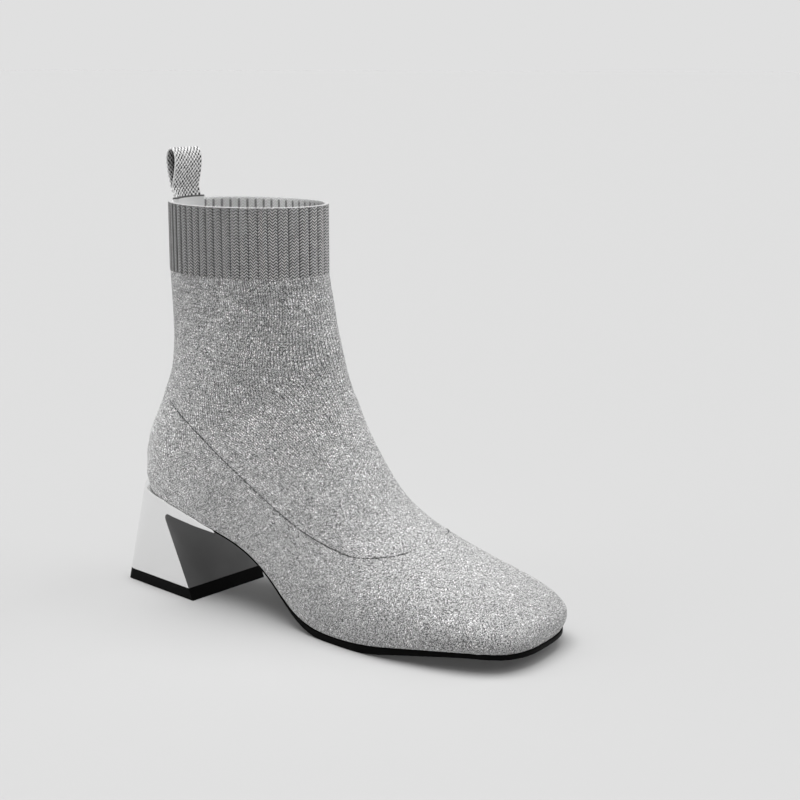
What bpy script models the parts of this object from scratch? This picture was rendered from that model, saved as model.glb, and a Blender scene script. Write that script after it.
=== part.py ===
"""Block heel boot for the right foot.

A knitted sock upper with a ribbed cuff stands on a thin rubber outsole.  A plated block heel,
cut away by a wedge-shaped notch, carries the heel seat and stands on a rubber top lift.

The tables are in the boot's own frame: X runs from the back of the heel to the toe, Y to the
inner (medial) side of the foot, Z up from the floor.  All sizes are in millimetres.
"""

import math

import bmesh
import bpy
import numpy as np
from mathutils import Matrix

MM = 0.001
GAP = 0.3
SHARP_ANGLE = math.radians(35)

# Sizes of the last and the shaft
LENGTH = 242.8
BALL_WIDTH = 82.4
SEAT_HEIGHT = 55.6
RIM_HEIGHT = 211.0
CUFF_HEIGHT = 35.2

# Knit.  Each side has SIDE_RIBS ribs, which widen towards the shin from rib RIB_WIDE_FROM on.  With
# none of them wider there would be RIB_EVEN.
WALL = 2.0
SIDE_RIBS = 25
RIB_EVEN = 26
RIB_WIDE_FROM = 19
RIB_POINTS = 4
RIB_RELIEF = (-0.6, 0.35, 0.45, 0.35)
CUFF_STEP = 0.6
RIM_ROUND = 0.7

# Sole and insole
SOLE_PROUD = 0.7
SOLE_TUCK = 0.5
TUCK_SPAN = (0.26, 0.50)
SOLE_ROUND = 0.5
SOLE_STATIONS = 44
INSOLE_THICKNESS = 2.0
INSOLE_CLEARANCE = 0.7
TOE_START = 0.906
TOE_SQUARE = (2.9, 3.0)
HEEL_ROUND = 2.1

# Heel block and top lift.  The notch and the floor plan lie in the heel's own turned axes.
TOP_LIFT = 6.2
HEEL_TURN = math.radians(-6.4)
HEEL_CENTRE = (24.0, 1.0)
NOTCH_APEX = (28.4, 45.7)
NOTCH_FOOT = (45.7, 6.2)
NOTCH_TIP = (62.5, 39.3)
NOTCH_ROUND = 2.6
NOTCH_POINTS = 6
NOTCH_REACH = 2.0
ARM_END = 61.5
ARM_RIM_END = 46.0
ARM_POINTS = 8
SEAT_RIM = 1.3
LIP_REAR = -0.8
LIP_SQUARE = 2.6
LIP_POINTS = 18
FLOOR_REAR = -10.4
FLOOR_FRONT = 72.0
FLOOR_HALF_REAR = 22.2
FLOOR_HALF_FRONT = 28.9
FLOOR_ROUND = 4.0
FLOOR_POINTS = 8

# Pull loop and the patch that covers its tail
TAPE = 1.0
LOOP_WIDTH = 21.0
LOOP_SIDE = -1.2
LOOP_TAIL = 16.0
LOOP_NECK = 6.0
LOOP_HOLE = 19.6
LOOP_SPREAD = 3.55
LOOP_TAPER = 1.5
LOOP_TURNS = 16
LOOP_FLAT = 0.1
LOOP_STATIONS = 9
PATCH_ENDS = (-16.5, 9.8)
PATCH_SEWN = 3.0
PATCH_THICKNESS = 0.8
PATCH_DROP = 17.5
PATCH_RISE = 1.2
PATCH_STATIONS = 13

# Feather line, where upper and sole meet, seen from the side: share of LENGTH, share of SEAT_HEIGHT
FEATHER = (
    (0.012, 1.000),
    (0.124, 0.900),
    (0.231, 0.773),
    (0.329, 0.630),
    (0.412, 0.405),
    (0.474, 0.189),
    (0.527, 0.094),
    (0.585, 0.068),
    (0.680, 0.083),
    (0.783, 0.131),
    (0.885, 0.172),
    (1.013, 0.163),
)

# Feather line seen from above, before its ends are rounded: share of LENGTH, lateral and medial
# half widths as shares of BALL_WIDTH
OUTLINE = (
    (0.144, 0.334, 0.328),
    (0.227, 0.340, 0.328),
    (0.329, 0.346, 0.303),
    (0.432, 0.382, 0.309),
    (0.535, 0.443, 0.364),
    (0.638, 0.498, 0.449),
    (0.708, 0.513, 0.485),
    (0.783, 0.492, 0.491),
    (0.844, 0.464, 0.467),
    (0.906, 0.412, 0.421),
    (1.005, 0.350, 0.365),
)

# Outsole thickness: share of LENGTH, millimetres
THICKNESS = (
    (0.000, 1.2),
    (0.330, 1.2),
    (0.430, 1.4),
    (0.480, 2.1),
    (0.545, 4.2),
    (0.660, 4.2),
    (0.760, 3.3),
    (0.920, 2.8),
    (1.010, 2.4),
)

# Sections through the upper, from the toe to the foot of the cuff.  Each lies in a plane through
# a low point at the sole or the back of the leg and a top point on the front of the boot.
#   low_x, top_x      share of LENGTH
#   low_z, top_z      share of RIM_HEIGHT, a low_z of None lies on the feather line
#   wide_out, _in     half width of each side at its widest, share of BALL_WIDTH
#   widest            where the section is widest, share of the way from low to top point
#   square_out, _in   exponent of each side's top curve, 2 for an ellipse and more for a squarer one
#   ridge             how far the top leans to the medial side, share of BALL_WIDTH
#   rows              rows of mesh up to the next section
SECTION_COLUMNS = (
    "low_x", "low_z", "top_x", "top_z", "wide_out", "wide_in", "widest",
    "square_out", "square_in", "ridge", "rows",
)
SECTIONS = (
    (0.906, None, 0.999, 0.044, 0.412, 0.421, 0.02, 3.00, 2.90, 0.000, 1),
    (0.902, None, 1.004, 0.066, 0.440, 0.446, 0.06, 2.80, 2.78, 0.000, 1),
    (0.885, None, 1.000, 0.089, 0.468, 0.473, 0.12, 2.70, 2.68, 0.006, 1),
    (0.861, None, 0.984, 0.109, 0.496, 0.498, 0.16, 2.62, 2.56, 0.012, 2),
    (0.828, None, 0.956, 0.129, 0.518, 0.519, 0.20, 2.55, 2.50, 0.018, 2),
    (0.787, None, 0.909, 0.152, 0.538, 0.533, 0.22, 2.45, 2.45, 0.027, 2),
    (0.733, None, 0.835, 0.183, 0.556, 0.535, 0.24, 2.35, 2.35, 0.036, 2),
    (0.663, None, 0.739, 0.228, 0.552, 0.508, 0.26, 2.25, 2.25, 0.042, 2),
    (0.568, None, 0.638, 0.302, 0.516, 0.441, 0.28, 2.15, 2.15, 0.042, 2),
    (0.461, None, 0.580, 0.393, 0.460, 0.400, 0.30, 2.10, 2.10, 0.036, 2),
    (0.350, None, 0.543, 0.472, 0.415, 0.394, 0.32, 2.05, 2.05, 0.030, 2),
    (0.239, None, 0.524, 0.534, 0.404, 0.399, 0.36, 2.00, 2.00, 0.024, 2),
    (0.136, None, 0.509, 0.579, 0.404, 0.404, 0.40, 2.00, 2.00, 0.018, 3),
    (0.054, None, 0.502, 0.612, 0.405, 0.405, 0.42, 2.00, 2.00, 0.012, 4),
    (0.008, None, 0.497, 0.638, 0.407, 0.407, 0.44, 2.00, 2.00, 0.010, 1),
    (0.006, 0.308, 0.492, 0.661, 0.412, 0.412, 0.45, 2.00, 2.00, 0.005, 2),
    (0.009, 0.370, 0.486, 0.689, 0.412, 0.412, 0.46, 2.00, 2.00, 0.000, 2),
    (0.044, 0.465, 0.476, 0.726, 0.408, 0.408, 0.48, 2.00, 2.00, 0.000, 2),
    (0.079, 0.574, 0.468, 0.764, 0.400, 0.400, 0.50, 2.00, 2.00, 0.000, 2),
    (0.086, 0.697, 0.460, 0.797, 0.400, 0.400, 0.50, 2.00, 2.00, 0.000, 2),
    (0.082, 0.833, 0.452, 0.833, 0.413, 0.413, 0.50, 2.00, 2.00, 0.000, 1),
)
HEEL_SECTION = 14
CURVE_POINTS = 160


def spline(knots, values, at):
    """Natural cubic spline through values at the knots, read at the places in `at`."""
    knots = np.asarray(knots, float)
    values = np.asarray(values, float).reshape(len(knots), -1)
    count = len(knots)
    step = np.diff(knots)[:, None]
    slope = np.diff(values, axis=0) / step
    system = np.eye(count)
    right = np.zeros_like(values)
    for k in range(1, count - 1):
        system[k, k - 1] = step[k - 1, 0]
        system[k, k] = 2 * (step[k - 1, 0] + step[k, 0])
        system[k, k + 1] = step[k, 0]
        right[k] = 6 * (slope[k] - slope[k - 1])
    bend = np.linalg.solve(system, right)
    at = np.clip(np.asarray(at, float), knots[0], knots[-1])
    k = np.clip(np.searchsorted(knots, at, side="right") - 1, 0, count - 2)
    run = (at - knots[k])[..., None]
    span = step[k]
    start = slope[k] - span * (2 * bend[k] + bend[k + 1]) / 6
    result = values[k] + run * (start + run * (bend[k] / 2 + run * (bend[k + 1] - bend[k]) / (6 * span)))
    return result[..., 0] if result.shape[-1] == 1 else result


def smooth_step(value, low, high):
    """0 below low, 1 above high, and the cubic 3t^2 - 2t^3 between them."""
    t = np.clip((np.asarray(value, float) - low) / (high - low), 0, 1)
    return t * t * (3 - 2 * t)


def feather(x):
    """Height of the feather line at x."""
    table = np.array(FEATHER)
    return spline(table[:, 0] * LENGTH, table[:, 1] * SEAT_HEIGHT, x)


def sole_thickness(x):
    """Outsole thickness at x, straight from point to point of its table."""
    table = np.array(THICKNESS)
    return np.interp(x, table[:, 0] * LENGTH, table[:, 1])


HEEL_END = SECTIONS[HEEL_SECTION][0] * LENGTH
TOE_END = SECTIONS[0][2] * LENGTH
OUTLINE_START = OUTLINE[0][0] * LENGTH
TOE_ROUND_START = TOE_START * LENGTH


def half_width(x, side):
    """Half width of the feather line at x, on side 0 (lateral) or 1 (medial).

    The ends are superellipses: nearly round at the heel and squarer at the toe.
    """
    table = np.array(OUTLINE)
    widths = table[:, 1 + side] * BALL_WIDTH
    x = np.asarray(x, float)
    into_heel = np.clip((OUTLINE_START - x) / (OUTLINE_START - HEEL_END), 0, 1)
    into_toe = np.clip((x - TOE_ROUND_START) / (TOE_END - TOE_ROUND_START), 0, 1)
    middle = spline(table[:, 0] * LENGTH, widths, x)
    heel = widths[0] * (1 - into_heel**HEEL_ROUND) ** (1 / HEEL_ROUND)
    square = TOE_SQUARE[side]
    toe = middle * (1 - into_toe**square) ** (1 / square)
    return np.where(into_heel > 0, heel, toe)


def column_shares(count):
    """Where count + 1 columns stand on a side, as shares of its length: even behind, wider at the shin."""
    rib = np.linspace(0, SIDE_RIBS, count + 1)
    wide = np.clip((rib - RIB_WIDE_FROM) / (SIDE_RIBS - RIB_WIDE_FROM), 0, 1)
    return (rib + (RIB_EVEN - SIDE_RIBS) * wide**2) / RIB_EVEN


def points_along(curve, shares):
    """Points at shares of the length of a curve of many points."""
    lengths = np.linalg.norm(np.diff(curve, axis=0), axis=1)
    travelled = np.concatenate([[0.0], np.cumsum(lengths)])
    stops = shares * travelled[-1]
    return np.stack([np.interp(stops, travelled, curve[:, axis]) for axis in range(3)], axis=1)


def section_values(numbers):
    """The section table's columns in millimetres, read smoothly at the given section numbers."""
    table = np.array(SECTIONS, dtype=float)
    column = dict(zip(SECTION_COLUMNS, table.T))
    for name in ("low_x", "top_x"):
        column[name] = column[name] * LENGTH
    for name in ("wide_out", "wide_in", "ridge"):
        column[name] = column[name] * BALL_WIDTH
    for name in ("low_z", "top_z"):
        column[name] = column[name] * RIM_HEIGHT
    column["low_z"] = np.where(np.isnan(column["low_z"]), feather(column["low_x"]), column["low_z"])
    known = np.stack([column[name] for name in SECTION_COLUMNS], axis=1)
    return spline(np.arange(len(table)), known, numbers)


def section_curve(values, number, side, count):
    """One side of one section, from its low point to its top, as count + 1 points.

    The lower part follows the plan of the sole and swells to the widest place, and turns into
    a plain quarter ellipse towards the cuff.  The upper part is a quarter superellipse.
    """
    size = dict(zip(SECTION_COLUMNS, values))
    low_x, low_z = size["low_x"], size["low_z"]
    run_x, run_z = size["top_x"] - low_x, size["top_z"] - low_z
    wide = (size["wide_out"], size["wide_in"])[side]
    square = (size["square_out"], size["square_in"])[side]
    widest = size["widest"]
    plan_x = low_x
    if number < HEEL_SECTION:
        low_z = feather(low_x)
        run_z = size["top_z"] - low_z
    else:
        plan_x = HEEL_END
    turn = np.linspace(0, math.pi / 2, CURVE_POINTS)
    swell = np.sin(turn)
    rise_low = widest * (1 - np.cos(turn))
    plan = half_width(plan_x + rise_low * run_x, side)
    cup = plan + (wide - plan[-1]) * swell
    blend = smooth_step(number, HEEL_SECTION, len(SECTIONS) - 1)
    rise = np.concatenate([rise_low, widest + (1 - widest) * np.sin(turn[1:]) ** (2 / square)])
    reach = np.concatenate([
        cup + blend * (wide * swell - cup),
        wide * np.clip(np.cos(turn[1:]), 0, 1) ** (2 / square),
    ])
    curve = np.stack([
        low_x + rise * run_x,
        (-1, 1)[side] * reach + rise * size["ridge"],
        low_z + rise * run_z,
    ], axis=1)
    if number == 0:
        curve[:, 1] = (-1, 1)[side] * half_width(curve[:, 0], side)
        curve[:, 2] = feather(curve[:, 0])
    return points_along(curve, column_shares(count))


def section_row(values, number, side_count):
    """A whole section: lateral side up to the top, then down the medial side."""
    lateral = section_curve(values, number, 0, side_count)
    medial = section_curve(values, number, 1, side_count)
    return np.concatenate([lateral, medial[-2::-1]])


def row_numbers():
    """Section numbers of the mesh rows, with the table's count of rows between sections."""
    numbers = []
    for k, section in enumerate(SECTIONS[:-1]):
        rows = section[-1]
        numbers += [k + step / rows for step in range(rows)]
    return np.array(numbers + [len(SECTIONS) - 1.0])


def point_normals(points, faces):
    """Unit normals of a mesh of quads, each the sum of the faces around its point."""
    faces = np.array(faces)
    first = points[faces[:, 2]] - points[faces[:, 0]]
    second = points[faces[:, 3]] - points[faces[:, 1]]
    normal = np.cross(first, second)
    total = np.zeros_like(points)
    for corner in range(4):
        np.add.at(total, faces[:, corner], normal)
    return total / np.linalg.norm(total, axis=1)[:, None]


def plan_normals(ring):
    """Outward unit normals, seen from above, of a closed ring of points."""
    tangent = np.roll(ring, -1, axis=0) - np.roll(ring, 1, axis=0)
    normal = np.stack([tangent[:, 1], -tangent[:, 0], np.zeros(len(ring))], axis=1)
    normal /= np.linalg.norm(normal, axis=1)[:, None]
    outward = np.sum(normal * (ring - ring.mean(axis=0)), axis=1).sum() > 0
    return normal if outward else -normal


def new_object(name, points, faces, colour, roughness, metallic=0.0):
    """A smooth-shaded mesh object with its own Principled material, from millimetre points."""
    mesh = bpy.data.meshes.new(name)
    mesh.from_pydata((np.asarray(points) * MM).tolist(), [], [tuple(face) for face in faces])
    mesh.validate()
    mesh.shade_smooth()
    mesh.set_sharp_from_angle(angle=SHARP_ANGLE)
    thing = bpy.data.objects.new(name, mesh)
    bpy.context.collection.objects.link(thing)
    material = bpy.data.materials.new(name)
    material.use_nodes = True
    shader = material.node_tree.nodes["Principled BSDF"]
    shader.inputs["Base Color"].default_value = (*colour, 1.0)
    shader.inputs["Roughness"].default_value = roughness
    shader.inputs["Metallic"].default_value = metallic
    mesh.materials.append(material)
    return thing


def cut(thing, cutter, label):
    """Take the cutter away from an object, and keep the cutter out of sight."""
    cutter.hide_render = True
    cutter.display_type = "WIRE"
    boolean = thing.modifiers.new(label, "BOOLEAN")
    boolean.operation = "DIFFERENCE"
    boolean.solver = "EXACT"
    boolean.object = cutter


def ring_band(lower, upper):
    """Quads between two closed rings with the same number of points, given as index lists."""
    count = len(lower)
    quads = []
    for k in range(count):
        after = (k + 1) % count
        quads.append((lower[k], lower[after], upper[after], upper[k]))
    return quads


def rib_fan(plain, ribbed, flip):
    """Triangles between a plain ring and a ring with RIB_POINTS points for each of its points."""
    count = len(plain)
    faces = []
    for k in range(count):
        here = plain[k]
        following = plain[(k + 1) % count]
        fine = [ribbed[(RIB_POINTS * k + step) % len(ribbed)] for step in range(RIB_POINTS + 1)]
        middle = RIB_POINTS // 2
        faces += [(here, fine[step + 1], fine[step]) for step in range(middle)]
        faces.append((here, following, fine[middle]))
        faces += [(following, fine[step + 1], fine[step]) for step in range(middle, RIB_POINTS)]
    return [face[::-1] for face in faces] if flip else faces


def build_upper():
    """Knit sock with a ribbed cuff: an outer and an inner face, open at the collar and the sole."""
    numbers = row_numbers()
    values = section_values(numbers)
    columns = 2 * SIDE_RIBS
    rows = [section_row(row, number, SIDE_RIBS) for row, number in zip(values, numbers)]

    # Behind the heel section the first and last column are one line, up the back of the leg
    index = np.zeros((len(rows), columns + 1), dtype=int)
    points = []
    for i, row in enumerate(rows):
        closed = numbers[i] >= HEEL_SECTION
        used = columns if closed else columns + 1
        index[i, :used] = len(points) + np.arange(used)
        if closed:
            index[i, columns] = index[i, 0]
        points += list(row[:used])
    points = np.array(points)
    outer_faces = []
    for i in range(len(rows) - 1):
        for j in range(columns):
            corners = (index[i, j], index[i, j + 1], index[i + 1, j + 1], index[i + 1, j])
            outer_faces.append(corners)

    # The closed edge at the sole runs round the toe, then back along both sides to the heel
    heel_row = int(np.argmax(numbers >= HEEL_SECTION))
    sole_edge = list(index[0])
    sole_edge += [index[i, columns] for i in range(1, heel_row + 1)]
    sole_edge += [index[i, 0] for i in range(heel_row - 1, 0, -1)]

    normals = point_normals(points, outer_faces)
    if np.mean(normals[index[0], 0]) < 0:
        normals = -normals
    normals[sole_edge, 2] = 0
    normals[sole_edge] /= np.linalg.norm(normals[sole_edge], axis=1)[:, None]
    inner = points - WALL * normals
    shift = len(points)
    inner_faces = [tuple(corner + shift for corner in face[::-1]) for face in outer_faces]
    edge_faces = ring_band([k + shift for k in sole_edge], sole_edge)

    # Cuff: ribs outside, a rounded rim, a plain face inside
    top_number = float(len(SECTIONS) - 1)
    fine = section_row(section_values([top_number])[0], top_number, RIB_POINTS * SIDE_RIBS)[:-1]
    relief = np.tile(RIB_RELIEF, 2 * SIDE_RIBS)[:, None] * plan_normals(fine)
    plain = rows[-1][:-1]
    plain_normals = plan_normals(plain)
    up = np.array([0.0, 0.0, 1.0])
    cuff_foot = fine + relief + CUFF_STEP * up
    cuff_top = fine + relief + (CUFF_HEIGHT - RIM_ROUND) * up
    rim = plain - WALL / 2 * plain_normals + CUFF_HEIGHT * up
    lining_top = inner[index[-1, :columns]] + (CUFF_HEIGHT - RIM_ROUND) * up

    rings = []
    stacked = [points, inner]
    start = 2 * shift
    for ring in (cuff_foot, cuff_top, rim, lining_top):
        rings.append(list(range(start, start + len(ring))))
        stacked.append(ring)
        start += len(ring)
    foot_ring, top_ring, rim_ring, lining_ring = rings
    body_ring = list(index[-1, :columns])
    body_lining = [k + shift for k in body_ring]
    cuff_faces = rib_fan(body_ring, foot_ring, False)
    cuff_faces += ring_band(foot_ring, top_ring)
    cuff_faces += rib_fan(rim_ring, top_ring, True)
    cuff_faces += ring_band(rim_ring, lining_ring)
    cuff_faces += ring_band(lining_ring, body_lining)

    faces = outer_faces + inner_faces + edge_faces + cuff_faces
    return new_object("upper", np.concatenate(stacked), faces, (0.33, 0.33, 0.33), 0.8)


def outline_chain(side, offset):
    """One side of the feather line seen from above, heel to toe, moved out by an offset.

    Stations crowd towards both ends, where the outline turns.
    """
    turn = np.linspace(0, math.pi, SOLE_STATIONS + 1)
    x = HEEL_END + (TOE_END - HEEL_END) * (1 - np.cos(turn)) / 2
    y = half_width(x, side)
    dx = np.gradient(x)
    dy = np.gradient(y)
    dx[[0, -1]] = 0
    size = np.hypot(dx, dy)
    x = x - offset * dy / size
    y = y + offset * dx / size
    y[[0, -1]] = 0
    return np.stack([x, (-1, 1)[side] * y], axis=1)


def sole_ring(offset, height):
    """A closed ring round the sole at an offset from the feather line, at heights given over x."""
    offset = np.asarray(offset)
    lateral = outline_chain(0, offset)
    medial = outline_chain(1, offset)
    plan = np.concatenate([lateral, medial[-2:0:-1]])
    return np.column_stack([plan, height(plan[:, 0])])


def stack(rings):
    """A closed solid from rings of equal length, capped by strips from side to side.

    In a ring the lateral points run heel to toe and the medial ones back, so strip k joins
    lateral point k to the medial point across from it.
    """
    count = len(rings[0])
    across = [(-k) % count for k in range(count // 2 + 1)]
    faces = []
    for level in range(len(rings) - 1):
        lower = [level * count + k for k in range(count)]
        upper = [k + count for k in lower]
        faces += ring_band(lower, upper)
    last = (len(rings) - 1) * count
    for k in range(count // 2):
        strip = [k, across[k], across[k + 1], k + 1]
        strip = list(dict.fromkeys(strip))
        faces.append(tuple(strip))
        faces.append(tuple(last + corner for corner in strip[::-1]))
    return np.concatenate(rings), faces


def sole_top(x):
    """Top face of the outsole, a gap below the feather line."""
    return feather(x) - GAP


def sole_bottom(x):
    """Underside of the outsole, flat on the floor under the ball of the foot."""
    return np.maximum(sole_top(x) - sole_thickness(x), 0.0)


def sole_offset():
    """How far the sole's edge stands past the feather line: proud at the forefoot, tucked at the heel."""
    turn = np.linspace(0, math.pi, SOLE_STATIONS + 1)
    share = (1 - np.cos(turn)) / 2
    return np.interp(share, TUCK_SPAN, (-SOLE_TUCK, SOLE_PROUD))


def build_outsole():
    """Thin rubber outsole with softly rounded edges."""
    edge = sole_offset()
    rings = [
        sole_ring(edge - SOLE_ROUND, sole_bottom),
        sole_ring(edge, lambda x: sole_bottom(x) + SOLE_ROUND),
        sole_ring(edge, lambda x: sole_top(x) - SOLE_ROUND / 2),
        sole_ring(edge - SOLE_ROUND / 2, sole_top),
    ]
    return new_object("outsole", *stack(rings), (0.012, 0.012, 0.012), 0.45)


def build_insole():
    """Insole board that lies on the outsole, inside the wall of the upper."""
    edge = -(WALL + INSOLE_CLEARANCE)
    rings = [
        sole_ring(edge, lambda x: sole_top(x) + GAP),
        sole_ring(edge, lambda x: sole_top(x) + GAP + INSOLE_THICKNESS),
    ]
    return new_object("insole", *stack(rings), (0.28, 0.28, 0.28), 0.85)


def arc(centre, radius, start, stop, count):
    """Points on a circle from one angle to another, in degrees."""
    angle = np.radians(np.linspace(start, stop, count))
    return np.stack([centre[0] + radius * np.cos(angle), centre[1] + radius * np.sin(angle)], axis=1)


def turned(plan):
    """Points in the heel's own axes, turned to the line of the heel seat."""
    x, y = (np.asarray(plan) - (HEEL_CENTRE[0], 0)).T
    cos, sin = math.cos(HEEL_TURN), math.sin(HEEL_TURN)
    return np.stack([HEEL_CENTRE[0] + cos * x - sin * y, HEEL_CENTRE[1] + sin * x + cos * y], axis=1)


def floor_outline():
    """The block's plan at the floor: a wedge with rounded rear corners, wider to the front."""
    corner = (FLOOR_REAR + FLOOR_ROUND, FLOOR_HALF_REAR - FLOOR_ROUND)
    rear = arc(corner, FLOOR_ROUND, 180, 90, FLOOR_POINTS)
    half = np.concatenate([rear, [(FLOOR_FRONT, FLOOR_HALF_FRONT)]])
    return turned(np.concatenate([half * (1, -1), half]))


def seat_outline():
    """The block's plan at the seat: a squarish lip behind, a rim round the sole, the arm in front."""
    turn = np.linspace(0, math.pi / 2, LIP_POINTS)
    sides = []
    for side in (0, 1):
        half = half_width(OUTLINE_START, side) + SEAT_RIM
        lip = np.stack([
            OUTLINE_START - (OUTLINE_START - LIP_REAR) * np.cos(turn) ** (2 / LIP_SQUARE),
            half * np.sin(turn) ** (2 / LIP_SQUARE),
        ], axis=1)
        x = np.linspace(OUTLINE_START, ARM_END, ARM_POINTS)[1:]
        rim = np.interp(x, (ARM_RIM_END, ARM_END), (SEAT_RIM, -GAP))
        arm = np.stack([x, half_width(x, side) + rim], axis=1)
        sides.append(np.concatenate([lip, arm]) * (1, (-1, 1)[side]))
    return np.concatenate(sides)


def heel_slab(height, above):
    """The part above or below a height of the convex hull of the block's floor plan and its seat."""
    floor, seat = floor_outline(), seat_outline()
    work = bmesh.new()
    for x, y in floor:
        work.verts.new((x, y, 0.0))
    for x, y in seat:
        work.verts.new((x, y, float(sole_top(x))))
    hull = bmesh.ops.convex_hull(work, input=work.verts)
    inside = [part for part in hull["geom_interior"] if isinstance(part, bmesh.types.BMVert)]
    bmesh.ops.delete(work, geom=inside, context="VERTS")
    bmesh.ops.bisect_plane(
        work, geom=work.verts[:] + work.edges[:] + work.faces[:], plane_co=(0, 0, height),
        plane_no=(0, 0, -1 if above else 1), clear_outer=True,
    )
    bmesh.ops.holes_fill(work, edges=[edge for edge in work.edges if edge.is_boundary], sides=0)
    work.verts.index_update()
    points = np.array([corner.co for corner in work.verts])
    faces = [tuple(corner.index for corner in face.verts) for face in work.faces]
    work.free()
    return points, faces


def notch_profile():
    """The notch from the side: a wedge with a rounded apex, open to the front."""
    apex = np.array(NOTCH_APEX)
    arm = np.array(NOTCH_TIP) - apex
    breast = np.array(NOTCH_FOOT) - apex
    arm_angle = math.atan2(arm[1], arm[0])
    breast_angle = math.atan2(breast[1], breast[0])
    half = (arm_angle - breast_angle) / 2
    middle = (arm_angle + breast_angle) / 2
    centre = apex + NOTCH_ROUND / math.sin(half) * np.array((math.cos(middle), math.sin(middle)))
    start = math.degrees(arm_angle) + 90
    stop = math.degrees(breast_angle) + 270
    corner = arc(centre, NOTCH_ROUND, start, stop, NOTCH_POINTS)
    far_arm = apex + NOTCH_REACH * arm
    far_breast = 2 * NOTCH_REACH * breast
    return np.concatenate([corner, [apex + far_breast, far_arm + far_breast, far_arm]])


def prism(profile, half_length):
    """A closed prism over a side profile, across the heel in its own turned axes."""
    count = len(profile)
    sides = []
    for y in (-half_length, half_length):
        plan = turned(np.column_stack([profile[:, 0], np.full(count, y)]))
        sides.append(np.column_stack([plan, profile[:, 1]]))
    faces = ring_band(list(range(count)), list(range(count, 2 * count)))
    faces += [tuple(range(count))[::-1], tuple(range(count, 2 * count))]
    return np.concatenate(sides), faces


def build_heel():
    """Plated block: the hull of floor plan and seat, less the sole's recess and the notch."""
    heel = new_object("heel", *heel_slab(TOP_LIFT + GAP, True), (0.62, 0.62, 0.62), 0.25, 1.0)
    edge = sole_offset() + GAP
    recess = stack([
        sole_ring(edge, lambda x: sole_bottom(x) - GAP),
        sole_ring(edge, lambda x: sole_bottom(x) + SEAT_HEIGHT),
    ])
    cut(heel, new_object("recess_cutter", *recess, (0.5, 0.5, 0.5), 0.5), "recess")
    return heel


def build_top_lift():
    """Rubber top lift that carries on the slopes of the block down to the floor."""
    return new_object("heel_top_lift", *heel_slab(TOP_LIFT, False), (0.02, 0.02, 0.02), 0.5)


def cut_notch(*pieces):
    """Cut the wedge-shaped notch through the heel block and the top lift alike."""
    notch = new_object("notch_cutter", *prism(notch_profile(), BALL_WIDTH), (0.5, 0.5, 0.5), 0.5)
    for piece in pieces:
        cut(piece, notch, "notch")


def collar_back(y, depth):
    """X of the cuff's back at each y, a depth inside its outer face: the back of an ellipse."""
    low, top = SECTIONS[-1][0] * LENGTH, SECTIONS[-1][2] * LENGTH
    reach = (top - low) / 2 - depth
    across = SECTIONS[-1][4] * BALL_WIDTH - depth
    return (low + top) / 2 - reach * np.sqrt(1 - (y / across) ** 2)


def bent_prism(profile, faces, loops, bend, stations, depths):
    """A closed strip: a side profile set at each station across the back of the collar.

    The profile's x is measured inwards from the station's depth in the wall.  `bend` says how closely
    each of its points follows the curve of the collar, from 0 to 1.  The profile's faces close the two
    ends, and the loops, as index lists, make the walls.
    """
    count = len(profile)
    points = []
    for y, depth in zip(stations, depths):
        back = collar_back(0.0, depth)
        x = back + bend * (collar_back(y, depth) - back) + profile[:, 0]
        points.append(np.column_stack([x, np.full(count, y), profile[:, 1]]))
    last = count * (len(stations) - 1)
    solid = [tuple(face[::-1]) for face in faces]
    solid += [tuple(corner + last for corner in face) for face in faces]
    for loop in loops:
        for station in range(len(stations) - 1):
            near = [k + station * count for k in loop]
            solid += ring_band(near, [k + count for k in near])
    return np.concatenate(points), solid


def build_pull_loop():
    """Folded tape: a drop-shaped loop above the rim, its two leaves sewn flat into a tail below."""
    turn = np.linspace(0, 2 * math.pi, LOOP_TURNS + 1)
    bottom = RIM_HEIGHT + LOOP_NECK
    drop = np.stack([
        LOOP_SPREAD * np.sin(turn) * np.sin(turn / 2) ** LOOP_TAPER,
        bottom + LOOP_HOLE * (1 - np.cos(turn)) / 2,
    ], axis=1)
    tangent = np.gradient(drop, axis=0)
    tangent[0] = (0, 1)
    tangent[-1] = (0, -1)
    normal = np.stack([tangent[:, 1], -tangent[:, 0]], axis=1)
    normal /= np.linalg.norm(normal, axis=1)[:, None]
    skin = drop + TAPE * normal
    tail = [(x, z) for z in (RIM_HEIGHT, RIM_HEIGHT - LOOP_TAIL) for x in (-TAPE, 0, TAPE)]
    profile = np.concatenate([drop[:-1], skin, tail])
    profile[:, 0] += TAPE

    hole = list(range(LOOP_TURNS))
    outer = [LOOP_TURNS + k for k in range(LOOP_TURNS + 1)]
    neck = [outer[-1], hole[0], outer[0]]
    rim = [2 * LOOP_TURNS + 1 + k for k in range(3)]
    end = [k + 3 for k in rim]
    faces = []
    for k in range(LOOP_TURNS):
        faces.append((hole[k], hole[(k + 1) % LOOP_TURNS], outer[k + 1], outer[k]))
    for upper, lower in ((neck, rim), (rim, end)):
        faces += [(lower[k], lower[k + 1], upper[k + 1], upper[k]) for k in range(2)]
    outline = end + [rim[2]] + outer + [rim[0]]
    bend = np.interp(profile[:, 1], (RIM_HEIGHT, bottom), (1, LOOP_FLAT))
    stations = LOOP_SIDE + np.linspace(-LOOP_WIDTH / 2, LOOP_WIDTH / 2, LOOP_STATIONS)
    depths = np.full(LOOP_STATIONS, WALL + GAP)
    points, solid = bent_prism(profile, faces, (outline, hole[::-1]), bend, stations, depths)
    return new_object("pull_loop", points, solid, (0.36, 0.36, 0.36), 0.8)


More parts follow.
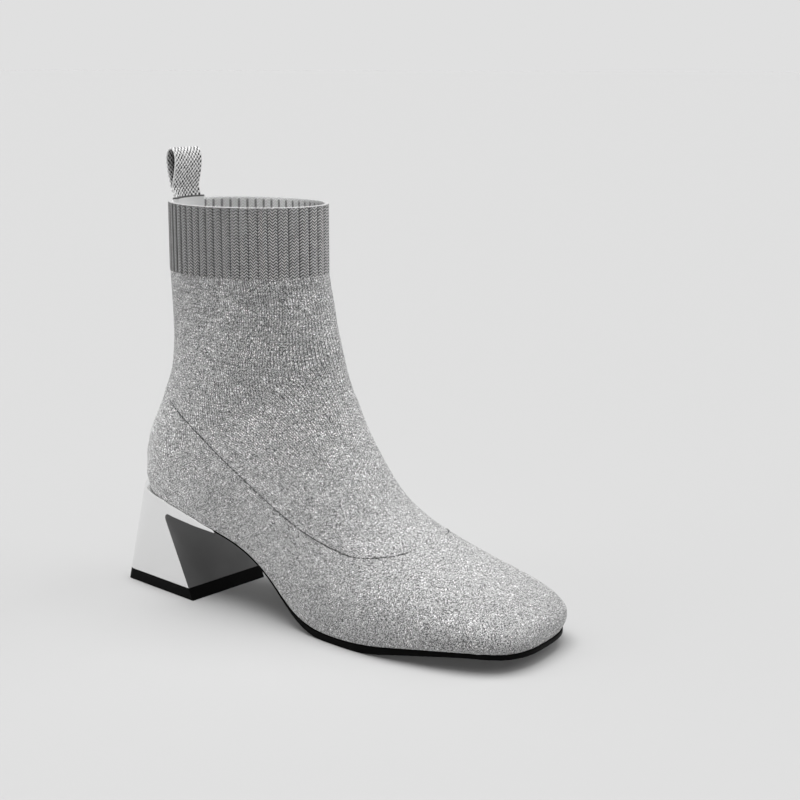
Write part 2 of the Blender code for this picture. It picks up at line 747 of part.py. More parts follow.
def build_patch():
    """Plain patch inside the collar: it lies over the tail of the pull loop, its ends sewn to the wall."""
    low, high = RIM_HEIGHT - PATCH_DROP, RIM_HEIGHT + PATCH_RISE
    profile = np.array([(0, low), (PATCH_THICKNESS, low), (PATCH_THICKNESS, high), (0, high)])
    outline = [0, 1, 2, 3]
    stations = np.linspace(*PATCH_ENDS, PATCH_STATIONS)
    past_tail = np.abs(stations - LOOP_SIDE) - LOOP_WIDTH / 2 - GAP
    over_tail = 1 - smooth_step(past_tail, 0, PATCH_SEWN)
    depths = WALL + GAP + over_tail * (2 * TAPE + GAP)
    points, solid = bent_prism(profile, [tuple(outline)], (outline,), np.ones(4), stations, depths)
    return new_object("collar_patch", points, solid, (0.5, 0.5, 0.5), 0.7)


def face_outward(thing):
    """Turn every face of a closed mesh outward."""
    work = bmesh.new()
    work.from_mesh(thing.data)
    bmesh.ops.recalc_face_normals(work, faces=work.faces)
    work.to_mesh(thing.data)
    work.free()


def centre_on_floor(things):
    """Move all meshes so that the middle of the boot's plan stands on the origin."""
    corners = []
    for thing in things:
        if not thing.hide_render:
            corners += [corner.co[:2] for corner in thing.data.vertices]
    low = np.min(corners, axis=0)
    high = np.max(corners, axis=0)
    middle = (low + high) / 2
    for thing in things:
        thing.data.transform(Matrix.Translation((-middle[0], -middle[1], 0)))


def main():
    for thing in list(bpy.data.objects):
        bpy.data.objects.remove(thing, do_unlink=True)
    build_outsole()
    build_insole()
    build_upper()
    cut_notch(build_heel(), build_top_lift())
    build_pull_loop()
    build_patch()
    things = list(bpy.data.objects)
    for thing in things:
        face_outward(thing)
    centre_on_floor(things)


main()
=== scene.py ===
"""Block heel boot for the right foot, dressed: knit, ribs, seam stitches, plating, rubber and tape.

Tables and formulas are in the boot's own frame, in millimetres: X runs from the back of the heel to
the toe, Y to the inner (medial) side of the foot, Z up from the floor.
"""

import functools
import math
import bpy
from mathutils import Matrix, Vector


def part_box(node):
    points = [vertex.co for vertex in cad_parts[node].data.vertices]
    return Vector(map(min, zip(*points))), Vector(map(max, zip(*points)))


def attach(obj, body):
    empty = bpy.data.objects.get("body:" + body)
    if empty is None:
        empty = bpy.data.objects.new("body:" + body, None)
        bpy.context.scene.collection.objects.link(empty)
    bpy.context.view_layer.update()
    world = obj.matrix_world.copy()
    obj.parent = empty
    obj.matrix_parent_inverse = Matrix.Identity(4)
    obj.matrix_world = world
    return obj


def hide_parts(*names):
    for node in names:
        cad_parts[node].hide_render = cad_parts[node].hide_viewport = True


bl_info = {
    "name": "Block Heel Boot",
    "version": (1, 0, 0),
    "blender": (4, 5, 0),
    "location": "3D View > Sidebar > Boot",
    "description": "Builds the visible pieces of a knitted sock boot round its CAD frame",
    "category": "Object",
}

import bmesh
import bpy
import numpy as np
from bpy.props import FloatProperty, FloatVectorProperty, PointerProperty
from mathutils import Vector

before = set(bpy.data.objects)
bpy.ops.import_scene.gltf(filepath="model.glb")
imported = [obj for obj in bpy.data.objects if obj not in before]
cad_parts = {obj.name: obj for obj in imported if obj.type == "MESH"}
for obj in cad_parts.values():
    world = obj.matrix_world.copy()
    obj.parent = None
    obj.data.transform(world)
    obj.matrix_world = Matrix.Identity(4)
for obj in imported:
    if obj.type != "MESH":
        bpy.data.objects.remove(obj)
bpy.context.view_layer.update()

MM = 0.001
GAP = 0.3
UP = np.array((0.0, 0.0, 1.0))
WELD = 0.00003
SAME_POINT = 1e-7
FLAT_ANGLE = math.radians(0.3)
SHARP_ANGLE = math.radians(30.0)
ROOT = "root"

# Sizes of the last, the shaft and the knit.  Each side has SIDE_RIBS ribs, which widen towards the
# shin from rib RIB_WIDE_FROM on.  With none of them wider there would be RIB_EVEN.
LENGTH = 242.8
BALL_WIDTH = 82.4
SEAT_HEIGHT = 55.6
RIM_HEIGHT = 211.0
CUFF_HEIGHT = 35.2
WALL = 2.0
SIDE_RIBS = 25
RIB_EVEN = 26
RIB_WIDE_FROM = 19
WALES_PER_RIB = 4
WALES = 2 * SIDE_RIBS * WALES_PER_RIB
ROWS_PER_SECTION = 9
CURVE_POINTS = 320

# Sole and insole
SOLE_PROUD = 0.7
SOLE_TUCK = 0.5
TUCK_SPAN = (0.26, 0.50)
CAD_STATIONS = 44
SOLE_STATIONS = 150
SOLE_EASE = 11.0
SOLE_EASE_STEPS = 25
SOLE_ROUND = 0.6
SOLE_TREAD = 320.0
LIFT_TREAD = 260.0
SOLE_EDGE_MOST = 1 / 2.1
EDGE_STEPS = 6
INSOLE_THICKNESS = 2.0
INSOLE_CLEARANCE = 0.7
INSOLE_EDGE = 1.2
TOE_START = 0.906
TOE_SQUARE = (2.9, 3.0)
HEEL_ROUND = 2.1

# Heel block and top lift.  The notch and the floor plan lie in the heel's own turned axes.
TOP_LIFT = 6.2
# Inside the notch the plating is darker, a painted dark reflection: its metal share, and the share of its
# colour kept at its foot as painted shade
NOTCH_METAL = 0.25
NOTCH_FOOT_SHADE = 0.5
HEEL_TURN = math.radians(-6.4)
HEEL_CENTRE = (24.0, 1.0)
NOTCH_APEX = (28.4, 46.3)
NOTCH_FOOT = (45.7, 6.2)
NOTCH_TIP = (62.5, 40.2)
NOTCH_ROUND = 2.6
NOTCH_POINTS = 14
NOTCH_REACH = 2.0
ARM_END = 60.6
ARM_RIM_END = 46.0
SEAT_RISE = 2.0
SEAT_RISE_END = 25.0
ARM_POINTS = 24
SEAT_RIM = 1.15
LIP_REAR = -0.5
LIP_SQUARE = 2.6
LIP_POINTS = 60
FLOOR_REAR = -10.4
FLOOR_FRONT = 72.0
FLOOR_HALF_REAR = 22.2
FLOOR_HALF_FRONT = 28.9
FLOOR_ROUND = 4.0
FLOOR_POINTS = 16

# Pull loop and the patch that covers its tail
TAPE = 1.0
LOOP_ENDS = (-11.7, 9.3)
LOOP_TAIL = 16.0
LOOP_NECK = 6.0
LOOP_HOLE = 19.6
LOOP_SPREAD = 3.55
LOOP_TAPER = 1.5
LOOP_FLAT = 0.1
LOOP_POINTS = 73
LEAF_POINTS = 22
TAPE_THINNER = 0.1
TAPE_EDGE = 0.9
TAPE_COLUMNS = 31
PATCH_POINTS = 24
PATCH_ENDS = (-16.5, 9.8)
PATCH_SEWN = 3.0
PATCH_THICKNESS = 0.8
PATCH_DROP = 17.5
PATCH_RISE = 1.2

# Feather line, where upper and sole meet, seen from the side: share of LENGTH, share of SEAT_HEIGHT
FEATHER = np.array((
    (0.012, 1.000), (0.124, 0.900), (0.231, 0.773), (0.329, 0.630), (0.412, 0.405), (0.474, 0.189),
    (0.527, 0.094), (0.585, 0.068), (0.680, 0.083), (0.783, 0.131), (0.885, 0.172), (1.013, 0.163),
))

# Feather line seen from above: share of LENGTH, lateral and medial half widths as shares of BALL_WIDTH
OUTLINE = np.array((
    (0.144, 0.334, 0.328), (0.227, 0.340, 0.328), (0.329, 0.346, 0.303), (0.432, 0.382, 0.309),
    (0.535, 0.443, 0.364), (0.638, 0.498, 0.449), (0.708, 0.513, 0.485), (0.783, 0.492, 0.491),
    (0.844, 0.464, 0.467), (0.906, 0.412, 0.421), (1.005, 0.350, 0.365),
))

# Outsole thickness: share of LENGTH, millimetres
THICKNESS = np.array((
    (0.000, 1.2), (0.330, 1.2), (0.430, 1.4), (0.480, 2.1), (0.545, 4.2), (0.660, 4.2), (0.760, 3.3),
    (0.920, 2.8), (1.010, 2.4),
))

# Sections through the upper, from the toe to the foot of the cuff: low_x, low_z, top_x, top_z,
# wide_out, wide_in, widest, square_out, square_in, ridge.  X is a share of LENGTH, z of RIM_HEIGHT,
# widths and ridge of BALL_WIDTH.  A low_z of None lies on the feather line.
SECTIONS = np.array((
    (0.906, None, 0.999, 0.044, 0.412, 0.421, 0.02, 3.00, 2.90, 0.000),
    (0.902, None, 1.004, 0.066, 0.440, 0.446, 0.06, 2.80, 2.78, 0.000),
    (0.885, None, 1.000, 0.089, 0.468, 0.473, 0.12, 2.70, 2.68, 0.006),
    (0.861, None, 0.984, 0.109, 0.496, 0.498, 0.16, 2.62, 2.56, 0.012),
    (0.828, None, 0.956, 0.129, 0.518, 0.519, 0.20, 2.55, 2.50, 0.018),
    (0.787, None, 0.909, 0.152, 0.538, 0.533, 0.22, 2.45, 2.45, 0.027),
    (0.733, None, 0.835, 0.183, 0.556, 0.535, 0.24, 2.35, 2.35, 0.036),
    (0.663, None, 0.739, 0.228, 0.552, 0.508, 0.26, 2.25, 2.25, 0.042),
    (0.568, None, 0.638, 0.302, 0.516, 0.441, 0.28, 2.15, 2.15, 0.042),
    (0.461, None, 0.580, 0.393, 0.460, 0.400, 0.30, 2.10, 2.10, 0.036),
    (0.350, None, 0.543, 0.472, 0.415, 0.394, 0.32, 2.05, 2.05, 0.030),
    (0.239, None, 0.524, 0.534, 0.404, 0.399, 0.36, 2.00, 2.00, 0.024),
    (0.136, None, 0.509, 0.579, 0.404, 0.404, 0.40, 2.00, 2.00, 0.018),
    (0.054, None, 0.502, 0.612, 0.405, 0.405, 0.42, 2.00, 2.00, 0.012),
    (0.008, None, 0.497, 0.638, 0.407, 0.407, 0.44, 2.00, 2.00, 0.010),
    (0.006, 0.308, 0.492, 0.661, 0.412, 0.412, 0.45, 2.00, 2.00, 0.005),
    (0.009, 0.370, 0.486, 0.689, 0.412, 0.412, 0.46, 2.00, 2.00, 0.000),
    (0.044, 0.465, 0.476, 0.726, 0.408, 0.408, 0.48, 2.00, 2.00, 0.000),
    (0.079, 0.574, 0.468, 0.764, 0.400, 0.400, 0.50, 2.00, 2.00, 0.000),
    (0.086, 0.697, 0.460, 0.797, 0.400, 0.400, 0.50, 2.00, 2.00, 0.000),
    (0.082, 0.833, 0.452, 0.833, 0.413, 0.413, 0.50, 2.00, 2.00, 0.000),
), dtype=float)
LAST_SECTION = len(SECTIONS) - 1
HEEL_SECTION = 14
HEEL_END = SECTIONS[HEEL_SECTION, 0] * LENGTH
TOE_END = SECTIONS[0, 2] * LENGTH
OUTLINE_START = OUTLINE[0, 0] * LENGTH
TOE_ROUND_START = TOE_START * LENGTH

# The seam's points on the lateral side, from the back of the leg to the vamp, in millimetres.  The
# medial side mirrors it.
SEAM = np.array((
    (18.6, 0.0, 118.7), (24.4, -19.8, 114.6), (35.7, -31.1, 108.3), (48.9, -33.8, 99.2),
    (62.9, -32.9, 88.0), (84.0, -32.3, 73.6), (103.5, -32.7, 61.8), (125.8, -34.3, 51.6),
    (142.3, -34.2, 46.6), (153.9, -33.3, 44.5), (164.6, -29.0, 44.9), (172.4, -22.8, 45.9),
    (177.2, -12.0, 47.6), (178.8, 1.0, 48.4),
))
SEAM_STEPS = 900
SEAM_WIDTH = 1.0
SEAM_BANK = (2.3, 1.1, 0.3)
STITCH_PITCH = 2.2
STITCH_LENGTH = 1.3
STITCH_RADIUS = 0.29
STITCH_SINK = 0.6
STITCH_LIFT = 0.6
STITCH_STEPS = 7
STITCH_SIDES = 6
STITCH_VARIETY = 0.22
STITCH_TAPER = 0.6
STITCH_BLUNT = 0.06

# Where the seam comes into sight: forward of the back of the leg, and out from the vamp's middle
SEAM_BEHIND = (28.0, 42.0)
SEAM_ON_VAMP = (90.0, 120.0)
SEAM_FROM_MIDDLE = (8.0, 22.0)

# Painted light and shade on the knit: what is added to its colour, and the spans along x and z over
# which it comes in.  A span that runs backwards comes in towards the heel or the floor.
KNIT_PAINTED_LIGHT = (
    (-0.17, None, (120, 190)),
    (0.10, None, (22, 40)),
    (-0.10, None, (95, 125)),
    (-0.10, (120, 150), (30, 12)),
    (0.06, (140, 190), None),
    (0.24, (70, 25), (125, 85)),
)

# Share of flecks near the floor, what is added up the leg, and the span of height where it is added
FLECKS_LOW = 0.5
FLECKS_MORE = 0.75
FLECKS_SPAN = (45.0, 110.0)
# Height over the rim given to the knit in front of the heel's arm, clear of the painted shade along it
CLEAR_OF_SEAT = 9.0

# Soft creases: section number and share round it at each end, depth and half width in millimetres.
# A negative depth is a ridge.
CREASES = (
    ((12.7, 0.34), (12.1, 0.52), 0.40, 4.0),
    ((11.7, 0.60), (11.3, 0.45), 0.30, 3.6),
    ((13.6, 0.57), (13.3, 0.68), 0.28, 3.4),
    ((16.2, 0.02), (15.7, 0.14), 0.35, 3.8),
    ((17.0, 0.98), (16.5, 0.86), 0.32, 3.6),
    ((17.6, 0.04), (17.2, 0.15), -0.22, 4.2),
    ((6.5, 0.26), (6.3, 0.48), 0.22, 4.6),
    ((6.1, 0.74), (6.2, 0.56), 0.22, 4.6),
)
CREASE_STEPS = 60

# The cuff: where the points of a rib stand from groove to groove, and its section, a superellipse
RIB_PHASES = (0.0, 0.03, 0.08, 0.16, 0.28, 0.42, 0.58, 0.72, 0.84, 0.92, 0.97)
RIB_SQUARE = 2.5
RIB_PROUD = 0.2
RIB_FADE = 0.8
CUFF_PROUD = 0.05
CUFF_LAP = 0.3
RIM_RADIUS = 0.5
RIM_PROUD = 0.12
RIM_STEPS = 11
INSIDE_RELIEF = 0.35
INSIDE_DEEPER = 0.1

# Where the rim's painted highlight begins and gives way to the lining, in radians over the roll, and how
# far down the inside its ribs and its dashes of painted shade begin
RIM_BEGINS = (0.2, 0.7)
RIM_ENDS = (1.6, 2.6)
INSIDE_RIBS = (0.8, 2.4)
INSIDE_DASHES = (0.6, 2.2)

# Rows of the cuff: over the foot, up the ribs and under the rim outside, and down the inside
CUFF_ROWS = (6, 24, 7)
INSIDE_ROWS = 22

# Painted light and shade on the cuff: its factor behind and what is added in front, outside and
# inside, and where it turns to front.  Behind the second span the grooves carry wide painted shade.
CUFF_PAINTED_LIGHT = (0.94, 0.26)
INSIDE_PAINTED_LIGHT = (1.12, -0.62)
CUFF_FRONT = (58.0, 98.0)
WIDE_GROOVE_SHADE_BEHIND = (36.0, 56.0)

# Camera in the boot's frame
CAMERA_PLACE = (588.792, -645.259, 279.824)
CAMERA_AIM = (-0.54285836, 0.81449465, -0.20470288)
CAMERA_LENS = 72.23
SENSOR_WIDTH = 36.0
VIEW_END = 100.0
FLOOR_REACH = 60.0

# Suns: name, azimuth counted from the toe's side, elevation, spread, and whether it casts shadows
SUNS = (
    ("overhead", -90.0, 86.0, 50.0, True),
    ("front_high", -20.0, 60.0, 50.0, True),
    ("front_low", 40.0, 25.0, 60.0, False),
    ("back_high", 200.0, 60.0, 50.0, True),
    ("back_low", 225.0, -5.0, 70.0, False),
)


def spline(knots, values, at):
    """Natural cubic spline through values at the knots, read at the places in `at`."""
    knots = np.asarray(knots, float)
    values = np.asarray(values, float).reshape(len(knots), -1)
    count = len(knots)
    step = np.diff(knots)[:, None]
    slope = np.diff(values, axis=0) / step
    inner = np.arange(1, count - 1)
    system = np.eye(count)
    system[inner, inner - 1] = step[:-1, 0]
    system[inner, inner] = 2 * (step[:-1, 0] + step[1:, 0])
    system[inner, inner + 1] = step[1:, 0]
    right = np.zeros_like(values)
    right[1:-1] = 6 * np.diff(slope, axis=0)
    bend = np.linalg.solve(system, right)
    at = np.clip(np.asarray(at, float), knots[0], knots[-1])
    k = np.clip(np.searchsorted(knots, at, side="right") - 1, 0, count - 2)
    run = (at - knots[k])[..., None]
    span = step[k]
    start = slope[k] - span * (2 * bend[k] + bend[k + 1]) / 6
    result = values[k] + run * (start + run * (bend[k] / 2 + run * (bend[k + 1] - bend[k]) / (6 * span)))
    return result[..., 0] if result.shape[-1] == 1 else result


def smooth_step(value, low, high):
    """0 below low, 1 above high, and the cubic 3t^2 - 2t^3 between them."""
    t = np.clip((np.asarray(value, float) - low) / (high - low), 0, 1)
    return t * t * (3 - 2 * t)


def feather(x):
    """Height of the feather line at x."""
    return spline(FEATHER[:, 0] * LENGTH, FEATHER[:, 1] * SEAT_HEIGHT, x)


def half_width(x, side):
    """Half width of the feather line at x, on side 0 (lateral) or 1 (medial).

    The ends are superellipses: nearly round at the heel and squarer at the toe.
    """
    widths = OUTLINE[:, 1 + side] * BALL_WIDTH
    x = np.asarray(x, float)
    into_heel = np.clip((OUTLINE_START - x) / (OUTLINE_START - HEEL_END), 0, 1)
    into_toe = np.clip((x - TOE_ROUND_START) / (TOE_END - TOE_ROUND_START), 0, 1)
    middle = spline(OUTLINE[:, 0] * LENGTH, widths, x)
    heel = widths[0] * (1 - into_heel**HEEL_ROUND) ** (1 / HEEL_ROUND)
    square = TOE_SQUARE[side]
    toe = middle * (1 - into_toe**square) ** (1 / square)
    return np.where(into_heel > 0, heel, toe)


def travelled(curve):
    """Distance along a curve of many points, from its first point."""
    steps = np.linalg.norm(np.diff(curve, axis=0), axis=1)
    return np.concatenate([[0.0], np.cumsum(steps)])


def points_along(curve, shares):
    """Points at shares of the length of a curve of many points."""
    distance = travelled(curve)
    return np.stack([np.interp(shares * distance[-1], distance, axis) for axis in curve.T], axis=1)


def rib_shares(ribs):
    """Where rib numbers stand on a side, as shares of its length: even behind, wider at the shin."""
    wide = np.clip((ribs - RIB_WIDE_FROM) / (SIDE_RIBS - RIB_WIDE_FROM), 0, 1)
    return (ribs + (RIB_EVEN - SIDE_RIBS) * wide**2) / RIB_EVEN


def section_values(numbers):
    """The section table in millimetres, read smoothly at the given section numbers."""
    known = SECTIONS * (LENGTH, RIM_HEIGHT, LENGTH, RIM_HEIGHT, BALL_WIDTH, BALL_WIDTH, 1, 1, 1, BALL_WIDTH)
    known[:, 1] = np.where(np.isnan(known[:, 1]), feather(known[:, 0]), known[:, 1])
    return spline(np.arange(len(known)), known, numbers)


def section_side(values, number, side, ribs):
    """One side of one section, from its low point to its top, as points at rib numbers.

    The lower part follows the plan of the sole and swells to the widest place by a sine, and turns
    into a plain quarter ellipse towards the cuff.  The upper part is a quarter superellipse.
    """
    low_x, low_z, top_x, top_z, wide_out, wide_in, widest, square_out, square_in, ridge = values
    wide = (wide_out, wide_in)[side]
    square = (square_out, square_in)[side]
    sign = (-1, 1)[side]
    plan_x = HEEL_END
    if number < HEEL_SECTION:
        low_z = feather(low_x)
        plan_x = low_x
    run_x, run_z = top_x - low_x, top_z - low_z
    turn = np.linspace(0, math.pi / 2, CURVE_POINTS)
    swell = np.sin(turn)
    rise_low = widest * (1 - np.cos(turn))
    plan = half_width(plan_x + rise_low * run_x, side)
    cup = plan + (wide - plan[-1]) * swell
    blend = smooth_step(number, HEEL_SECTION, LAST_SECTION)
    rise = np.concatenate([rise_low, widest + (1 - widest) * np.sin(turn[1:]) ** (2 / square)])
    reach = np.concatenate([
        cup + blend * (wide * swell - cup),
        wide * np.clip(np.cos(turn[1:]), 0, 1) ** (2 / square),
    ])
    curve = np.stack([low_x + rise * run_x, sign * reach + rise * ridge, low_z + rise * run_z], axis=1)
    if number < 1:
        edge_x = curve[:, 0]
        edge = np.stack([edge_x, sign * half_width(edge_x, side), feather(edge_x)], axis=1)
        curve = curve + (1 - number) ** 2 * (edge - curve)
    return points_along(curve, rib_shares(ribs))


def section_row(values, number, ribs):
    """A whole section: lateral side up to the top, then down the medial side."""
    lateral = section_side(values, number, 0, ribs)
    medial = section_side(values, number, 1, ribs)
    return np.concatenate([lateral, medial[-2::-1]])


@functools.cache
def plain_skin():
    """The knit's outer face as a grid: rows from the toe to the cuff, one column for each wale."""
    numbers = np.linspace(0, LAST_SECTION, LAST_SECTION * ROWS_PER_SECTION + 1)
    ribs = np.linspace(0, SIDE_RIBS, WALES // 2 + 1)
    rows = [section_row(v, n, ribs) for v, n in zip(section_values(numbers), numbers)]
    return np.stack(rows)


def on_skin(grid, places):
    """Points of a grid at section numbers and shares round the section, read straight between its points."""
    row = np.clip(places[:, 0] * ROWS_PER_SECTION, 0, len(grid) - 1.001)
    column = np.clip(places[:, 1], 0, 0.99999) * WALES
    i, j = row.astype(int), column.astype(int)
    a, b = (row - i)[:, None], (column - j)[:, None]
    near = grid[i, j] * (1 - b) + grid[i, j + 1] * b
    far = grid[i + 1, j] * (1 - b) + grid[i + 1, j + 1] * b
    return near * (1 - a) + far * a


def grid_normals(grid):
    """Outward unit normals of the knit's grid, from its slopes along rows and columns.

    Above the heel the first and last column are one line, so the slope runs on across it.
    """
    along = np.gradient(grid, axis=0)
    across = np.gradient(grid, axis=1)
    closed = HEEL_SECTION * ROWS_PER_SECTION
    joined = grid[closed:, 1] - grid[closed:, -2]
    across[closed:, 0] = joined
    across[closed:, -1] = joined
    normal = np.cross(across, along)
    length = np.linalg.norm(normal, axis=2, keepdims=True)
    return normal / np.maximum(length, 1e-9)


def nearest(points, path):
    """Distance from each point to the nearest point of a path, and that point's index."""
    flat = points.reshape(-1, 3)
    best = np.full(len(flat), np.inf)
    which = np.zeros(len(flat), dtype=int)
    for start in range(0, len(path), CREASE_STEPS):
        part = path[start:start + CREASE_STEPS]
        square = (flat**2).sum(1)[:, None] - 2 * flat @ part.T + (part**2).sum(1)
        index = square.argmin(axis=1)
        value = square[np.arange(len(flat)), index]
        closer = value < best
        best[closer] = value[closer]
        which[closer] = index[closer] + start
    shape = points.shape[:-1]
    return np.sqrt(np.maximum(best, 0)).reshape(shape), which.reshape(shape)


def skin_places(path, grid):
    """Section numbers and shares round the section where a path's points lie on a grid.

    Each point starts from its nearest grid point and moves by the grid's slopes there.
    """
    columns = grid.shape[1]
    _, index = nearest(path, grid.reshape(-1, 3))
    i, j = index // columns, index % columns
    away = path - grid[i, j]
    up = np.gradient(grid, axis=0)[i, j]
    across = np.gradient(grid, axis=1)[i, j]
    pairs = ((up, up), (up, across), (across, across), (away, up), (away, across))
    up_up, up_across, across_across, by_up, by_across = (np.sum(a * b, axis=1) for a, b in pairs)
    whole = up_up * across_across - up_across**2
    row = i + (by_up * across_across - by_across * up_across) / whole
    column = j + (by_across * up_up - by_up * up_across) / whole
    return np.stack([row / ROWS_PER_SECTION, column / WALES], axis=1)


@functools.cache
def seam_path():
    """The seam as even points on the knit, from the back of the leg round the vamp to the back again."""
    ends = np.concatenate([SEAM[:-1], SEAM[::-1] * (1, -1, 1)])
    knots = travelled(ends)
    path = spline(knots, ends, np.linspace(0, knots[-1], SEAM_STEPS))
    grid = plain_skin()
    return points_along(on_skin(grid, skin_places(path, grid)), np.linspace(0, 1, SEAM_STEPS))


@functools.cache
def knit_skin(seam_depth, crease):
    """The knit's outer face with its seam and creases, its normals and its distance from the seam, which
    is positive on one side of it and negative on the other.

    Each crease lowers the skin by depth x sine along the crease x a bell across it.  The seam is a
    narrow bell with a low bank on either side.
    """
    grid = plain_skin()
    normals = grid_normals(grid)
    path = seam_path()
    from_seam, index = nearest(grid, path)
    side = np.sum(np.cross(np.gradient(path, axis=0)[index], grid - path[index]) * normals, axis=2)
    bank_at, bank_width, bank_share = SEAM_BANK
    lift = -seam_depth * np.exp(-((from_seam / SEAM_WIDTH) ** 2))
    lift += bank_share * seam_depth * np.exp(-(((from_seam - bank_at) / bank_width) ** 2))
    share = np.linspace(0, 1, CREASE_STEPS)
    for start, stop, depth, width in CREASES:
        places = np.array(start) + share[:, None] * (np.array(stop) - np.array(start))
        away, index = nearest(grid, on_skin(grid, places))
        lift -= crease * depth * np.sin(math.pi * share[index]) * np.exp(-((away / width) ** 2))
    return grid + lift[..., None] * normals, normals, np.where(side < 0, -from_seam, from_seam)


def seam_shown(points):
    """How much of the seam shows: it sinks into the knit at the back of the leg and on top of the vamp."""
    x, y = points[..., 0], np.abs(points[..., 1])
    on_top = (1 - smooth_step(y, *SEAM_FROM_MIDDLE)) * smooth_step(x, *SEAM_ON_VAMP)
    return (1 - on_top) * smooth_step(x, *SEAM_BEHIND)


def painted_knit_light(points):
    """Painted light and shade on the knit: 1 and the changes in the table above, eased in along x and z."""
    tone = np.ones(len(points))
    for change, *spans in KNIT_PAINTED_LIGHT:
        for span, along in zip(spans, (points[:, 0], points[:, 2])):
            if span:
                change = change * smooth_step(along, *span)
        tone += change
    return tone


def plan_normals(ring):
    """Outward unit normals, seen from above, of a closed ring of points."""
    tangent = np.roll(ring, -1, axis=0) - np.roll(ring, 1, axis=0)
    normal = np.stack([tangent[:, 1], -tangent[:, 0], np.zeros(len(ring))], axis=1)
    normal /= np.linalg.norm(normal, axis=1)[:, None]
    outward = np.sum(normal * (ring - ring.mean(axis=0))) > 0
    return normal if outward else -normal


def grid_corners(grid):
    """The four corners of each cell of a grid, in order round it."""
    return np.stack([grid[:-1, :-1], grid[:-1, 1:], grid[1:, 1:], grid[1:, :-1]], axis=2)


def grid_quads(index):
    """Quads of an index grid."""
    return grid_corners(index).reshape(-1, 4)


def ring_grid(rings, count, start=0):
    """Index grid of closed rings one after another, its first column repeated at the end."""
    index = start + np.arange(rings * count).reshape(rings, count)
    return np.concatenate([index, index[:, :1]], axis=1)


def sole_offset(stations):
    """How far the sole's edge stands past the feather line: tucked at the heel, proud at the forefoot."""
    share = (1 - np.cos(np.linspace(0, math.pi, stations + 1))) / 2
    return np.interp(share, TUCK_SPAN, (-SOLE_TUCK, SOLE_PROUD))


def outline_chain(side, offset, stations):
    """One side of the feather line seen from above, heel to toe, moved out by an offset."""
    turn = np.linspace(0, math.pi, stations + 1)
    x = HEEL_END + (TOE_END - HEEL_END) * (1 - np.cos(turn)) / 2
    y = half_width(x, side)
    dx = np.gradient(x)
    dy = np.gradient(y)
    dx[[0, -1]] = 0
    size = np.hypot(dx, dy)
    x = x - offset * dy / size
    y = y + offset * dx / size
    y[[0, -1]] = 0
    return np.stack([x, (-1, 1)[side] * y], axis=1)


def sole_ring(offset, height, stations=SOLE_STATIONS):
    """A closed ring round the sole at an offset from the feather line, at heights given over x."""
    lateral = outline_chain(0, offset, stations)
    medial = outline_chain(1, offset, stations)
    plan = np.concatenate([lateral, medial[-2:0:-1]])
    return np.column_stack([plan, height(plan[:, 0])])


def sole_top(x):
    """Top face of the outsole, a gap below the feather line."""
    return feather(x) - GAP


def sole_bottom(x):
    """Underside of the outsole, flat on the floor under the ball of the foot.

    The thickness is a running mean of its table, and a parabola eases the corners at the floor.
    """
    near = np.asarray(x, float)[..., None] + np.linspace(-SOLE_EASE, SOLE_EASE, SOLE_EASE_STEPS)
    thickness = np.interp(near, THICKNESS[:, 0] * LENGTH, THICKNESS[:, 1]).mean(-1)
    height = sole_top(x) - thickness
    eased = (height + SOLE_ROUND) ** 2 / (4 * SOLE_ROUND)
    return np.where(np.abs(height) < SOLE_ROUND, eased, np.maximum(height, 0.0))


def rounded_ring(edge, radius, turn, face, inward):
    """A ring of a rounded edge, a turn round its quarter circle from the side on to a face.

    `face` gives the face's height over x, and `inward` is 1 or -1, the way from it into the piece.
    """
    lift = inward * radius * (1 - math.sin(turn))
    return sole_ring(edge - radius * (1 - math.cos(turn)), lambda x: face(x) + lift)


def capped(rings):
    """Points and faces of a closed solid of like rings, capped by strips from side to side."""
    count = len(rings[0])
    index = ring_grid(len(rings), count)
    faces = grid_quads(index).tolist()
    near = np.arange(count // 2)
    strips = np.stack([near, -near % count, -(near + 1) % count, near + 1], axis=1)
    last = (len(rings) - 1) * count
    for strip in strips.tolist():
        strip = list(dict.fromkeys(strip))
        faces += [strip, [last + corner for corner in strip[::-1]]]
    return np.concatenate(rings), faces


def arc(centre, radius, start, stop, count):
    """Points on a circle from one angle to another, in degrees."""
    angle = np.radians(np.linspace(start, stop, count))
    return np.stack([centre[0] + radius * np.cos(angle), centre[1] + radius * np.sin(angle)], axis=1)


def turned(plan):
    """Points in the heel's own axes, turned to the line of the heel seat."""
    x, y = (np.asarray(plan) - (HEEL_CENTRE[0], 0)).T
    cos, sin = math.cos(HEEL_TURN), math.sin(HEEL_TURN)
    return np.stack([HEEL_CENTRE[0] + cos * x - sin * y, HEEL_CENTRE[1] + sin * x + cos * y], axis=1)


def floor_outline():
    """The block's plan at the floor: a wedge with rounded rear corners, wider to the front."""
    corner = (FLOOR_REAR + FLOOR_ROUND, FLOOR_HALF_REAR - FLOOR_ROUND)
    rear = arc(corner, FLOOR_ROUND, 180, 90, FLOOR_POINTS)
    half = np.concatenate([rear, [(FLOOR_FRONT, FLOOR_HALF_FRONT)]])
    return turned(np.concatenate([half * (1, -1), half]))


